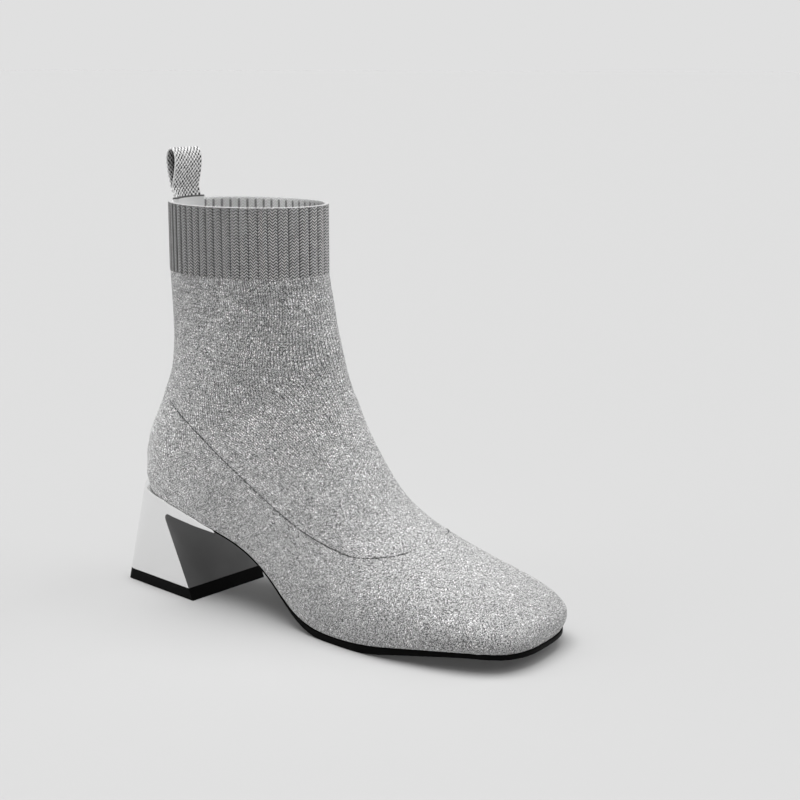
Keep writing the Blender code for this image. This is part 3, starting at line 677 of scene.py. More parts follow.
def seat_outline():
    """The block's plan at the seat: a squarish lip behind, a rim round the sole, the arm in front."""
    turn = np.linspace(0, math.pi / 2, LIP_POINTS)
    sides = []
    for side in (0, 1):
        half = half_width(OUTLINE_START, side) + SEAT_RIM
        lip = np.stack([
            OUTLINE_START - (OUTLINE_START - LIP_REAR) * np.cos(turn) ** (2 / LIP_SQUARE),
            half * np.sin(turn) ** (2 / LIP_SQUARE),
        ], axis=1)
        x = np.linspace(OUTLINE_START, ARM_END, ARM_POINTS)[1:]
        rim = np.interp(x, (ARM_RIM_END, ARM_END), (SEAT_RIM, -GAP))
        arm = np.stack([x, half_width(x, side) + rim], axis=1)
        sides.append(np.concatenate([lip, arm]) * (1, (-1, 1)[side]))
    return np.concatenate(sides)


def seat_height(x):
    """Height of the block's rim: above the sole's top face behind, and down to it along the arm."""
    return sole_top(x) + SEAT_RISE * (1 - smooth_step(x, SEAT_RISE_END, ARM_END))


def heel_slab(name, height, above, finish):
    """The part above or below a height of the convex hull of the block's floor plan and its seat."""
    floor, seat = floor_outline(), seat_outline()
    corners = np.concatenate([
        np.column_stack([floor, np.zeros(len(floor))]),
        np.column_stack([seat, seat_height(seat[:, 0])]),
    ])
    mesh = bpy.data.meshes.new(name)
    mesh.from_pydata(place(corners).tolist(), [], [])
    work = bmesh.new()
    work.from_mesh(mesh)
    hull = bmesh.ops.convex_hull(work, input=work.verts)
    inside = [part for part in hull["geom_interior"] if isinstance(part, bmesh.types.BMVert)]
    bmesh.ops.delete(work, geom=inside, context="VERTS")
    bmesh.ops.bisect_plane(
        work, geom=work.verts[:] + work.edges[:] + work.faces[:], plane_co=(0, 0, height * MM),
        plane_no=(0, 0, -1 if above else 1), clear_outer=True,
    )
    bmesh.ops.holes_fill(work, edges=[edge for edge in work.edges if edge.is_boundary], sides=0)
    work.to_mesh(mesh)
    work.free()
    return link_piece(name, mesh, finish)


def notch_profile():
    """The notch from the side: a wedge with a rounded apex, open to the front."""
    apex = np.array(NOTCH_APEX)
    arm = np.array(NOTCH_TIP) - apex
    breast = np.array(NOTCH_FOOT) - apex
    arm_angle = math.atan2(arm[1], arm[0])
    breast_angle = math.atan2(breast[1], breast[0])
    half = (arm_angle - breast_angle) / 2
    middle = (arm_angle + breast_angle) / 2
    centre = apex + NOTCH_ROUND / math.sin(half) * np.array((math.cos(middle), math.sin(middle)))
    start = math.degrees(arm_angle) + 90
    stop = math.degrees(breast_angle) + 270
    corner = arc(centre, NOTCH_ROUND, start, stop, NOTCH_POINTS)
    far_arm = apex + NOTCH_REACH * arm
    far_breast = 2 * NOTCH_REACH * breast
    return np.concatenate([corner, [apex + far_breast, far_arm + far_breast, far_arm]])


def notch_prism():
    """The notch carried straight across the heel, as a closed prism in the heel's turned axes."""
    profile = notch_profile()
    count = len(profile)
    sides = []
    for y in (-BALL_WIDTH, BALL_WIDTH):
        plan = turned(np.column_stack([profile[:, 0], np.full(count, y)]))
        sides.append(np.column_stack([plan, profile[:, 1]]))
    faces = grid_quads(ring_grid(2, count)).tolist()
    faces += [list(range(count))[::-1], list(range(count, 2 * count))]
    return np.concatenate(sides), faces


def collar_back(y, depth):
    """X of the cuff's back at each y, a depth inside its outer face: the back of an ellipse."""
    low, top = SECTIONS[-1, 0] * LENGTH, SECTIONS[-1, 2] * LENGTH
    reach = (top - low) / 2 - depth
    across = SECTIONS[-1, 4] * BALL_WIDTH - depth
    return (low + top) / 2 - reach * np.sqrt(1 - (y / across) ** 2)


def patch_depth(y):
    """How deep the patch lies inside the cuff's outer face: over the loop's tail, and on the wall past it."""
    middle, half = np.mean(LOOP_ENDS), np.ptp(LOOP_ENDS) / 2
    over_tail = 1 - smooth_step(np.abs(y - middle) - half - GAP, 0, PATCH_SEWN)
    return WALL + GAP + over_tail * (2 * TAPE + GAP)


def bent_strip(path, normal, thickness, ends, depth, flat):
    """A tape along a side path, bent round the back of the collar.

    At each path point stands a rounded rectangle, `thickness` along the path's normal and across from
    one of `ends` to the other.  `depth` is the tape's depth in the wall over y, and `flat` the share of
    the collar's bend it keeps above the rim.  Returns points, faces, the tape's own width and length
    at each point, and 1 on the face away from the normal.
    """
    width, middle = np.ptp(ends), np.mean(ends)
    radius = thickness / 2 * TAPE_EDGE
    quarter = np.linspace(0, math.pi / 2, EDGE_STEPS)
    round_y = width / 2 - radius * (1 - np.cos(quarter))
    round_t = thickness / 2 - radius * (1 - np.sin(quarter))
    flat_y = np.linspace(width / 2 - radius, -width / 2 + radius, TAPE_COLUMNS)[1:-1]
    top_y = np.concatenate([round_y, flat_y, -round_y[::-1]])
    top_t = np.concatenate([round_t, np.full(len(flat_y), thickness / 2), round_t[::-1]])
    across = np.concatenate([top_y, -top_y])
    out = np.concatenate([top_t, -top_t])
    y = middle + np.broadcast_to(across, (len(path), len(across)))
    x = path[:, :1] + normal[:, :1] * out
    z = path[:, 1:] + normal[:, 1:] * out
    bend = np.interp(z, (RIM_HEIGHT, RIM_HEIGHT + LOOP_NECK), (1, flat))
    back = collar_back(0.0, depth(y))
    x = x + back + bend * (collar_back(y, depth(y)) - back)
    points = np.stack([x, y, z], axis=-1).reshape(-1, 3)
    index = ring_grid(len(path), len(across))
    quads = grid_quads(index).tolist()
    quads += [index[0, :-1].tolist()[::-1], index[-1, :-1].tolist()]
    length = np.broadcast_to(travelled(path)[:, None], y.shape)
    pairs = np.stack([across + 0 * length, length], axis=-1).reshape(-1, 2)
    return points, quads, pairs, np.tile((out <= 1e-6 - thickness / 2).astype(float), len(path))


def loop_path():
    """The tape's middle line from the side: up one leaf, round the drop-shaped loop, down the other.

    The drop is x = spread x sin(t) x sin(t/2)^taper, z = height x (1 - cos t)/2, moved out by half
    the tape.  Returns the points and their outward normals.
    """
    turn = np.linspace(0, 2 * math.pi, LOOP_POINTS)
    bottom = RIM_HEIGHT + LOOP_NECK
    drop = np.stack([
        LOOP_SPREAD * np.sin(turn) * np.sin(turn / 2) ** LOOP_TAPER,
        bottom + LOOP_HOLE * (1 - np.cos(turn)) / 2,
    ], axis=1)
    tangent = np.gradient(drop, axis=0)
    tangent[0] = (0, 1)
    tangent[-1] = (0, -1)
    normal = np.stack([tangent[:, 1], -tangent[:, 0]], axis=1)
    normal /= np.linalg.norm(normal, axis=1)[:, None]
    leaf_z = np.linspace(RIM_HEIGHT - LOOP_TAIL, bottom, LEAF_POINTS, endpoint=False)
    side = np.tile((1.0, 0.0), (len(leaf_z), 1))
    up_leaf = np.column_stack([np.full(len(leaf_z), TAPE / 2), leaf_z])
    path = np.concatenate([up_leaf, drop + TAPE / 2 * normal, up_leaf[::-1] * (-1, 1)])
    path[:, 0] += TAPE
    return path, np.concatenate([side, normal, -side])


def boot_origin():
    """Where the boot's own frame has its origin in the row frame, from the insole's box."""
    ring = sole_ring(np.full(CAD_STATIONS + 1, -(WALL + INSOLE_CLEARANCE)), sole_top, CAD_STATIONS)
    low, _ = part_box("insole")
    return np.array((low[0] - ring[:, 0].min() * MM, low[1] - ring[:, 1].min() * MM, 0.0))


ORIGIN = boot_origin()


def place(points):
    """Boot millimetres to the row frame's metres."""
    return np.asarray(points) * MM + ORIGIN


def add_mesh(name, points, faces, finish, uv=None, marks=None):
    """A smooth mesh object with one material, from millimetre points.

    `uv` gives a pair for each face corner, in the order of the faces.  `marks` are numbers for each
    point, by attribute name.
    """
    if not np.isfinite(points).all():
        raise RuntimeError(f"{name}: a point has no place")
    mesh = bpy.data.meshes.new(name)
    mesh.from_pydata(place(points).tolist(), [], [list(face) for face in faces])
    if mesh.validate():
        raise RuntimeError(f"{name}: the mesh has broken faces")
    if uv is not None:
        layer = mesh.uv_layers.new(name="knit")
        layer.uv.foreach_set("vector", np.ascontiguousarray(uv, dtype=np.float32).ravel())
    for label, values in (marks or {}).items():
        mark = mesh.attributes.new(label, "FLOAT", "POINT")
        mark.data.foreach_set("value", np.ascontiguousarray(values, dtype=np.float32).ravel())
    return link_piece(name, mesh, finish)


def link_piece(name, mesh, finish):
    """A smooth object of one material from a closed mesh, its faces outward."""
    mesh.shade_smooth()
    mesh.materials.append(finish)
    piece = bpy.data.objects.new(name, mesh)
    bpy.context.collection.objects.link(piece)
    face_out(piece)
    return piece


def join_boot(piece, replaces=None):
    """Let a piece ride on the boot's body and stand for a CAD node."""
    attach(piece, ROOT)
    if replaces:
        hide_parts(replaces)


def face_out(piece):
    """Merge doubled points and turn every face of a closed mesh outward."""
    work = bmesh.new()
    work.from_mesh(piece.data)
    bmesh.ops.remove_doubles(work, verts=work.verts, dist=SAME_POINT)
    bmesh.ops.recalc_face_normals(work, faces=work.faces)
    if any(not edge.is_manifold for edge in work.edges):
        raise RuntimeError(f"{piece.name}: the mesh isn't closed")
    work.to_mesh(piece.data)
    work.free()


def carve(piece, *cutters):
    """Take cutters away from a piece for good, and remove them.  Cut faces keep the cutter's finish."""
    for cutter in cutters:
        boolean = piece.modifiers.new(cutter.name, "BOOLEAN")
        boolean.operation = "DIFFERENCE"
        boolean.solver = "EXACT"
        boolean.material_mode = "TRANSFER"
        boolean.object = cutter
    graph = bpy.context.evaluated_depsgraph_get()
    mesh = bpy.data.meshes.new_from_object(piece.evaluated_get(graph))
    piece.modifiers.clear()
    piece.data = mesh
    for cutter in cutters:
        bpy.data.objects.remove(cutter)
    work = bmesh.new()
    work.from_mesh(mesh)
    bmesh.ops.remove_doubles(work, verts=work.verts, dist=WELD)
    bmesh.ops.dissolve_limit(
        work, angle_limit=FLAT_ANGLE, verts=work.verts, edges=work.edges, delimit={"MATERIAL"},
    )
    work.to_mesh(mesh)
    work.free()


def soften(piece, width):
    """Round the sharp edges of a piece and keep its broad faces flat in the light."""
    piece.data.shade_smooth()
    bevel = piece.modifiers.new("edge round", "BEVEL")
    bevel.width = width
    bevel.segments = 3
    bevel.limit_method = "ANGLE"
    bevel.angle_limit = SHARP_ANGLE
    bevel.use_clamp_overlap = False
    weighted = piece.modifiers.new("flat faces", "WEIGHTED_NORMAL")
    weighted.keep_sharp = True


class Wire:
    """A number, colour or vector inside a material.  Arithmetic on it adds maths nodes."""

    def __init__(self, finish, socket):
        self.finish = finish
        self.socket = socket

    def maths(self, operation, *values):
        """One step of arithmetic on this and other numbers."""
        return self.finish.maths(operation, self, *values)

    def __add__(self, other):
        return self.maths("ADD", other)

    def __sub__(self, other):
        return self.maths("SUBTRACT", other)

    def __mul__(self, other):
        return self.maths("MULTIPLY", other)

    def __abs__(self):
        return self.maths("ABSOLUTE")

    def __floor__(self):
        return self.maths("FLOOR")

    def fract(self):
        """What is left over the whole number below."""
        return self.maths("FRACT")

    def wave(self, turn):
        """The sine of this many times a turn."""
        return (self * turn).maths("SINE")

    def between(self, low, high, start=0.0, stop=1.0):
        """The way from low to high, eased, as start to stop."""
        spans = {"From Min": low, "From Max": high, "To Min": start, "To Max": stop}
        eased = {"interpolation_type": "SMOOTHSTEP"}
        return self.finish.node("MapRange", settings=eased, Value=self, **spans)


class Finish:
    """A Principled material with short ways to add nodes to it."""

    def __init__(self, name, **constants):
        self.material = bpy.data.materials.new(name)
        self.material.use_nodes = True
        self.nodes = self.material.node_tree.nodes
        self.links = self.material.node_tree.links
        self.shader = self.nodes["Principled BSDF"]
        self.set(**constants)

    def set(self, **values):
        """Feed the shader's sockets, named with underscores for spaces."""
        for name, value in values.items():
            self.feed(self.shader.inputs[name.replace("_", " ").title().replace("Ior", "IOR")], value)

    def feed(self, socket, value):
        """Link a wire to a socket, or set its constant."""
        if isinstance(value, Wire):
            self.links.new(value.socket, socket)
        elif np.ndim(value) == 1 and len(value) == 3 and socket.type == "RGBA":
            socket.default_value = (*value, 1.0)
        else:
            socket.default_value = value

    def node(self, kind, output=0, settings=None, **inputs):
        """Add a node with settings and named inputs, and give back one of its outputs."""
        node = self.nodes.new("ShaderNode" + kind)
        for label, value in (settings or {}).items():
            setattr(node, label, value)
        for label, value in inputs.items():
            self.feed(node.inputs[label], value)
        return Wire(self, node.outputs[output])

    def maths(self, operation, *values):
        """One step of arithmetic on numbers or wires."""
        node = self.nodes.new("ShaderNodeMath")
        node.operation = operation
        for socket, value in zip(node.inputs, values):
            self.feed(socket, value)
        return Wire(self, node.outputs[0])

    def mix(self, share, first, second, blend="MIX"):
        """Mix two colours by a share."""
        node = self.nodes.new("ShaderNodeMix")
        node.data_type = "RGBA"
        node.blend_type = blend
        for number, value in ((0, share), (6, first), (7, second)):
            self.feed(node.inputs[number], value)
        return Wire(self, node.outputs[2])

    def parts(self, vector):
        """The x, y and z of a vector."""
        node = self.nodes.new("ShaderNodeSeparateXYZ")
        self.feed(node.inputs[0], vector)
        return [Wire(self, output) for output in node.outputs]

    def dice(self, x, y, seed=0.0):
        """A random number from 0 to 1 for each whole-number pair x, y."""
        pair = self.node("CombineXYZ", X=x, Y=y, Z=seed)
        return self.node("TexWhiteNoise", settings={"noise_dimensions": "3D"}, Vector=pair)

    def noise(self, vector, scale, detail=2.0):
        """Soft noise about 0.5 over a vector."""
        return self.node("TexNoise", Vector=vector, Scale=scale, Detail=detail)

    def cells(self, vector, size):
        """A random number from 0 to 1 for each cube of a size in a tilted lattice."""
        tilted = self.node("Mapping", Vector=vector, Scale=(1 / size,) * 3, Rotation=(0.6, 0.4, 0.8))
        cube = self.node("VectorMath", settings={"operation": "FLOOR"}, Vector=tilted)
        drawn = self.node("TexWhiteNoise", output=1, settings={"noise_dimensions": "3D"}, Vector=cube)
        return self.parts(drawn)[0]

    def bump(self, height, distance, strength=1.0):
        """Feed a height in shares of a distance in metres to the shader's normal."""
        self.set(normal=self.node("Bump", Height=height, Distance=distance, Strength=strength))

    def uv(self):
        """Across and along the piece's own knit or tape."""
        return self.parts(self.node("UVMap", settings={"uv_map": "knit"}))[:2]

    def mark(self, name):
        """A number that the piece's points carry."""
        return self.node("Attribute", output=2, settings={"attribute_name": name})

    def object_place(self):
        """Place in the row frame, in metres."""
        return self.node("TexCoord", output=3)


def toned(colour, share):
    """A colour made darker or paler by a share."""
    return tuple(share * part for part in colour)


def sparkle_knit(settings):
    """Melange jersey of grey yarn with bright flecks.

    Its strands are small grains, each with its own shade by chance.  Some grains are bright metallic
    fleck yarn, in drifts across the knit.  A wale is a column of V stitches, whose legs are round and
    whose borders lie low, both shaded in the colour as painted shade.  Painted shade also lies along the
    seam and the heel's rim, and painted light and shade by place make the knit paler or darker.
    """
    finish = Finish("sparkle_knit", sheen_weight=0.05, sheen_roughness=0.5)
    place_in = finish.object_place()
    shade = finish.cells(place_in, settings.grain)
    drift = finish.noise(finish.node("Mapping", Vector=place_in, Scale=(90.0, 90.0, 320.0)), 1.0, 3.0)
    share = drift.between(0.38, 0.66, 0.25, 2.2) * settings.fleck_share * finish.mark("flecks")
    fleck = finish.cells(place_in, settings.fleck).maths("LESS_THAN", share)
    yarn = finish.mix(shade.between(0.34, 0.66), settings.yarn_dark, settings.yarn_light)
    stitched = finish.mix(fleck, yarn, settings.fleck_colour)
    wale, length = finish.uv()
    in_wale = abs(wale.fract() - 0.5)
    row = length * (MM / settings.course) + in_wale * 1.3
    round_leg = (in_wale.wave(2 * math.pi) * row.fract().wave(math.pi)).maths("SQRT")
    # The round legs and the wale's low borders are shaded in the colour as painted shade.
    groove = in_wale.between(0.24, 0.50, 1.15, 0.40)
    # Painted shade along the seam's groove, where the seam shows.
    seam = abs(finish.mark("from_seam")).between(0.1, 0.55, 0.50, 1.0)
    seam = (seam - 1.0) * finish.mark("sewn") + 1.0
    # Painted shade on the knit just above the heel block's rim.
    seat = finish.mark("above_seat").between(0.2, 1.1, 0.35, 1.0)
    # The knit is made paler or darker by place: painted light and shade.
    shadow = (round_leg * 0.75 + 0.58) * groove * (seam * seat) * finish.mark("tone")
    finish.set(
        base_color=finish.mix(1.0, stitched, shadow, "MULTIPLY"),
        roughness=fleck.between(0.0, 1.0, 0.80, 0.45), metallic=fleck * 0.45,
    )
    finish.bump(round_leg, 0.0001, 0.5)
    return finish.material


def rib_knit(settings):
    """Rib knit of the cuff: slanted stitches in columns on each rib, grooves darkened as painted shade, a
    rim paler as a painted highlight.

    Stitches are waves along the rib, slanted one way in one column and the other way in the next, and
    each column starts by chance.  The grooves' painted shade is wide behind, where the ribs crowd, and
    fine elsewhere.  Dashes of painted shade lie in the grooves inside, and painted light and shade by
    place make the cuff paler or darker.
    """
    finish = Finish("rib_knit", roughness=0.74, sheen_weight=0.1, sheen_roughness=0.5)
    wale, length = finish.uv()
    column = math.floor(wale)
    from_middle = abs(wale.maths("DIVIDE", float(WALES_PER_RIB)).fract() - 0.5)
    slant = abs((wale * 0.5).fract() - 0.5)
    row = length * (MM / settings.rib_course) + (slant * 1.7 + finish.dice(column, 0.0, 4.0))
    grain = finish.cells(finish.object_place(), settings.grain)
    stitch = row.fract().wave(math.pi).between(0.50, 0.92)
    shade = stitch * (finish.dice(column, math.floor(row)) * 0.5 + 0.7)
    shade = grain * 0.25 + (shade - 0.09)
    # Painted shade in the grooves: fine in the middle, wide behind where the ribs crowd.
    fine = from_middle.between(0.40, 0.48, 1.0, 0.40)
    wide = from_middle.between(0.24, 0.40, 1.0, 0.18)
    groove = finish.mix(finish.mark("crowded"), fine, wide)
    # Painted shade at the wale borders.
    line = abs(wale.fract() - 0.5).between(0.38, 0.50, 1.0, 0.72)
    yarn = finish.mix(shade, settings.rib_dark, settings.rib_light)
    yarn = finish.mix(1.0, yarn, groove * line, "MULTIPLY")
    # Inside, the yarn is paler: its reverse side, partly painted light.  Dark dashes in its grooves are
    # painted shade.
    inside = finish.mark("inside")
    dash = inside.between(1.2, 1.8) * from_middle.between(0.30, 0.42) * (stitch * -0.35 + 0.85)
    pale = finish.mix(shade, settings.inside_dark, settings.inside_light)
    pale = finish.mix(dash, pale, settings.rib_dark)
    yarn = finish.mix(inside.maths("MINIMUM", 1.0), yarn, pale)
    # Painted light and shade by place.
    yarn = finish.mix(1.0, yarn, finish.mark("tone"), "MULTIPLY")
    # The rim is paler along its roll: a painted highlight.
    finish.set(base_color=finish.mix(finish.mark("rim"), yarn, settings.rim_highlight_colour))
    finish.bump(stitch, 0.00022, 0.9)
    return finish.material


def stitch_thread():
    """Dark sewing thread with a twist along it."""
    finish = Finish("stitch_thread", roughness=0.6)
    twist = finish.node("TexWave", settings={"bands_direction": "DIAGONAL"}, Vector=finish.object_place(),
                        Scale=900.0, Distortion=1.0)
    finish.set(base_color=finish.mix(twist, (0.006, 0.006, 0.006), (0.02, 0.02, 0.02)))
    return finish.material


def satin_plating(name, colour, rough, metal, foot=1.0):
    """Plating on the heel, with a very fine grain and the faintest clouding.

    `foot` is the share of its colour that it keeps at the heel's foot, as painted shade.
    """
    finish = Finish(name, metallic=metal)
    place_in = finish.object_place()
    # Painted shade towards the heel's foot
    painted_foot_shade = finish.parts(place_in)[2].between(0.012, 0.042, foot, 1.0)
    cloud = finish.noise(place_in, 60.0, 3.0)
    finish.set(
        base_color=finish.mix(1.0, colour, painted_foot_shade, "MULTIPLY"),
        roughness=cloud.between(0.25, 0.75, rough * 0.8, rough * 1.2),
    )
    finish.bump(finish.noise(place_in, 2600.0), 0.00001, 0.15)
    return finish.material


def moulded_rubber(name, settings, tread):
    """Black rubber with a fine moulded grain and dusty patches, and a fine tread underneath."""
    finish = Finish(name, specular_ior_level=0.04)
    place_in = finish.object_place()
    grain = finish.noise(place_in, 1500.0, 3.0)
    dust = finish.noise(place_in, 90.0, 4.0).between(0.45, 0.80, 0.0, 0.5)
    black = settings.rubber_colour
    finish.set(
        base_color=finish.mix(dust, black, toned(black, 3.0)),
        roughness=grain.between(0.3, 0.7, 0.40, 0.58),
    )
    ridge = finish.node("TexWave", settings={"bands_direction": "X"}, Vector=place_in, Scale=tread,
                        Distortion=0.0)
    facing = finish.node("NewGeometry", output=1)
    under = finish.parts(facing)[2].between(-0.98, -0.85, 1.0, 0.0)
    finish.bump(ridge * under * 6.0 + grain, 0.00005, 0.5)
    return finish.material


def loop_weave(settings):
    """Twill tape: light and dark picks in diagonal lines of dots, with each crossing's shade by chance.

    The tape's inner face is painted dark as the loop's own shade, deeper away from the tape's edges.
    """
    finish = Finish("loop_weave", roughness=0.72)
    across, length = finish.uv()
    picks = 2.0 * MM / settings.weave_pitch
    end, pick = across * picks, length * picks
    weave = (end + pick).wave(math.pi / 2) * 0.75 + (end - pick).wave(math.pi / 2)
    cell = finish.dice(math.floor(end), math.floor(pick))
    light = cell * 0.9 + weave.between(-0.6, 0.6, -0.35, 0.7)
    from_edge = finish.maths("SUBTRACT", np.ptp(LOOP_ENDS) / 2, abs(across))
    # The tape is paler along its edges: a painted highlight.
    light = light.maths("MAXIMUM", from_edge.between(0.25, 0.6, 0.8, 0.0))
    cloth = finish.mix(light, settings.loop_dark, settings.loop_light)
    # Painted shade on the inner face, in the rubber's black and with less reflection
    shade = finish.mark("inner") * from_edge.between(0.6, 7.0, 0.45, 0.96)
    finish.set(
        base_color=finish.mix(shade, cloth, settings.rubber_colour),
        specular_ior_level=shade.between(0.0, 0.8, 0.4, 0.0),
    )
    finish.bump(weave, 0.00018, 0.8)
    return finish.material


def patch_cloth(settings):
    """Plain tape of the collar patch: a faint close weave, and dark along its top edge."""
    finish = Finish("patch_cloth", roughness=0.7)
    across, length = finish.uv()
    weave = (length.wave(12.0) * across.wave(12.0)).between(-1.0, 1.0)
    pale = settings.patch_colour
    top = PATCH_DROP + PATCH_RISE
    dark_top_edge = length.between(top - 1.0, top - 0.6, 0.0, 0.9)
    cloth = finish.mix(weave, toned(pale, 0.86), pale)
    finish.set(base_color=finish.mix(dark_top_edge, cloth, settings.rubber_colour))
    finish.bump(weave, 0.00006, 0.6)
    return finish.material


def insole_cloth(settings):
    """Brushed cover of the insole: soft mottled grey with a short nap."""
    finish = Finish("insole_cloth", roughness=0.9, sheen_weight=0.2, sheen_roughness=0.6)
    place_in = finish.object_place()
    grey = settings.insole_colour
    finish.set(base_color=finish.mix(finish.noise(place_in, 220.0, 4.0), toned(grey, 0.75), grey))
    finish.bump(finish.noise(place_in, 2200.0), 0.00012, 0.7)
    return finish.material


def colour_setting(name, description, grey):
    """A colour to choose, neutral grey by default."""
    return FloatVectorProperty(name=name, description=description, subtype="COLOR", size=3, min=0.0, max=1.0,
                               default=(grey, grey, grey))


def size_setting(name, description, millimetres):
    """A length to choose, in metres."""
    return FloatProperty(name=name, description=description, unit="LENGTH", min=0.0, default=millimetres * MM,
                         precision=5)


def share_setting(name, description, share, most=1.0):
    """A share to choose."""
    return FloatProperty(name=name, description=description, subtype="FACTOR", min=0.0, max=most,
                         default=share)


def light_setting(name, description, strength):
    """A light's strength to choose."""
    return FloatProperty(name=name, description=description, min=0.0, default=strength)


class BootKnitSettings(bpy.types.PropertyGroup):
    """Sizes and colours of the knit and the cuff."""

    yarn_dark: colour_setting("Dark yarn", "Darkest strands of the jersey", 0.02)
    yarn_light: colour_setting("Light yarn", "Lightest strands of the jersey", 0.66)
    fleck_colour: colour_setting("Fleck yarn", "Bright yarn in the jersey", 1.0)
    fleck_share: share_setting("Fleck share", "Share of bright yarn in the jersey", 0.055, 0.5)
    grain: size_setting("Grain", "Size of the yarn's grains of one shade", 0.25)
    fleck: size_setting("Fleck", "Size of a fleck of bright yarn", 0.5)
    course: size_setting("Course", "Height of one stitch of the jersey", 1.4)
    seam_depth: size_setting("Seam depth", "How deep the seam pulls into the knit", 0.35)
    crease: share_setting("Creases", "Strength of the soft creases", 1.0, 2.0)
    rib_depth: size_setting("Rib depth", "From the top of a rib to the foot of its groove", 1.4)
    rib_course: size_setting("Rib course", "Height of one stitch of the cuff", 1.5)
    rib_dark: colour_setting("Dark rib yarn", "Shadowed side of the cuff's stitches", 0.01)
    rib_light: colour_setting("Light rib yarn", "Light side of the cuff's stitches", 0.52)
    inside_dark: colour_setting("Dark inside yarn", "Shadowed side of the stitches inside the cuff", 0.5)
    inside_light: colour_setting("Light inside yarn", "Light side of the stitches inside the cuff", 1.0)
    # A painted highlight along the cuff's rolled rim
    rim_highlight_colour: colour_setting("Rim yarn", "Turned edge of the cuff", 0.62)


class BootSoleSettings(bpy.types.PropertyGroup):
    """Sizes and colours of the heel, the soles and the tapes."""

    plating_colour: colour_setting("Plating", "Colour of the plated heel", 0.88)
    plating_roughness: share_setting("Plating roughness", "How satin the plating is", 0.22)
    # A darker plating in the notch, a painted dark reflection
    notch_reflection_colour: colour_setting("Notch plating", "Colour of the plating inside the notch", 0.18)
    notch_roughness: share_setting("Notch roughness", "How satin the notch's plating is", 0.5)
    heel_edge: size_setting("Heel edge", "Rounding of the heel block's edges", 0.18)
    lift_edge: size_setting("Lift edge", "Rounding of the top lift's edges", 0.3)
    sole_edge: size_setting("Sole edge", "Rounding of the outsole's edges", 0.55)
    rubber_colour: colour_setting("Rubber", "Colour of outsole and top lift", 0.0018)
    insole_colour: colour_setting("Insole", "Colour of the insole's cover", 0.32)
    loop_dark: colour_setting("Dark loop yarn", "Dark yarn of the pull loop", 0.03)
    loop_light: colour_setting("Light loop yarn", "Light yarn of the pull loop", 0.95)
    weave_pitch: size_setting("Weave pitch", "Diagonal repeat of the loop's weave", 1.25)
    patch_colour: colour_setting("Patch", "Colour of the collar patch", 0.88)


class BootStageSettings(bpy.types.PropertyGroup):
    """The floor, the backdrop and the lights."""

    backdrop: colour_setting("Backdrop", "Grey of the backdrop as the camera sees it", 0.745)
    floor_colour: colour_setting("Floor", "Colour of the floor", 0.546)
    ambient: light_setting("Ambient", "Even light from all round", 0.03)
    overhead: light_setting("Overhead", "Strength of the light above", 2.35)
    front_high: light_setting("High front", "Strength of the high light before the toe", 0.6)
    front_low: light_setting("Low front", "Strength of the low light before the toe", 1.5)
    back_high: light_setting("High back", "Strength of the high light behind the heel", 0.65)
    back_low: light_setting("Low back", "Strength of the low light behind the heel", 1.15)


class BOOT_OT_knit_body(bpy.types.Operator):
    """Knit the sock: outer and inner face, closed along the sole and under the cuff"""

    bl_idname = "boot.knit_body"
    bl_label = "Knit body"

    def execute(self, context):
        settings = context.scene.boot_knit
        skin, normals, from_seam = knit_skin(settings.seam_depth / MM, settings.crease)
        rows, columns = skin.shape[:2]
        closed = HEEL_SECTION * ROWS_PER_SECTION
        index = np.arange(rows * columns).reshape(rows, columns)
        index[closed:, -1] = index[closed:, 0]
        edge_normals = normals.copy()
        for line in (np.s_[0, :], np.s_[:closed + 1, 0], np.s_[:closed + 1, -1]):
            edge_normals[line] = edge_normals[line] * (1, 1, 0)
        edge_normals /= np.linalg.norm(edge_normals, axis=2, keepdims=True)
        lining = plain_skin() - WALL * edge_normals
        shift = rows * columns
        sole_edge = np.concatenate([
            index[0], index[1:closed + 1, -1], index[closed - 1:0:-1, 0], index[0, :1],
        ])
        outer = grid_quads(index)
        sole_band = grid_quads(np.stack([sole_edge + shift, sole_edge]))
        top_band = grid_quads(np.stack([index[-1], index[-1] + shift]))
        faces = np.concatenate([outer, outer[:, ::-1] + shift, sole_band, top_band])

        # Wale and course at each face corner.  Courses count the knit's length down each wale.
        steps = np.linalg.norm(np.diff(skin, axis=0), axis=2)
        courses = np.concatenate([np.zeros((1, columns)), np.cumsum(steps, axis=0)])
        courses = courses[-1] - courses
        wales = np.broadcast_to(np.arange(columns, dtype=float), (rows, columns))
        outer_uv = grid_corners(np.stack([wales, courses], axis=-1)).reshape(-1, 4, 2)
        bands_uv = np.zeros((len(sole_band) + len(top_band), 4, 2))
        uv = np.concatenate([outer_uv, outer_uv[:, ::-1], bands_uv])

        points = np.concatenate([skin.reshape(-1, 3), lining.reshape(-1, 3)])
        used = np.unique(faces)
        renumber = np.zeros(len(points), dtype=int)
        renumber[used] = np.arange(len(used))
        points = points[used]
        x, z = points[:, 0], points[:, 2]
        marks = {
            "from_seam": np.tile(from_seam.ravel(), 2)[used],
            # Painted light and shade by place
            "tone": painted_knit_light(points),
            "flecks": FLECKS_LOW + FLECKS_MORE * smooth_step(z, *FLECKS_SPAN),
            # Height over the heel's rim, for the painted shade along it
            "above_seat": np.where(x < ARM_END, z - seat_height(x), CLEAR_OF_SEAT),
            "sewn": seam_shown(points),
        }
        piece = add_mesh("sock_body", points, renumber[faces], sparkle_knit(settings), uv=uv, marks=marks)
        join_boot(piece, "upper")
        return {"FINISHED"}


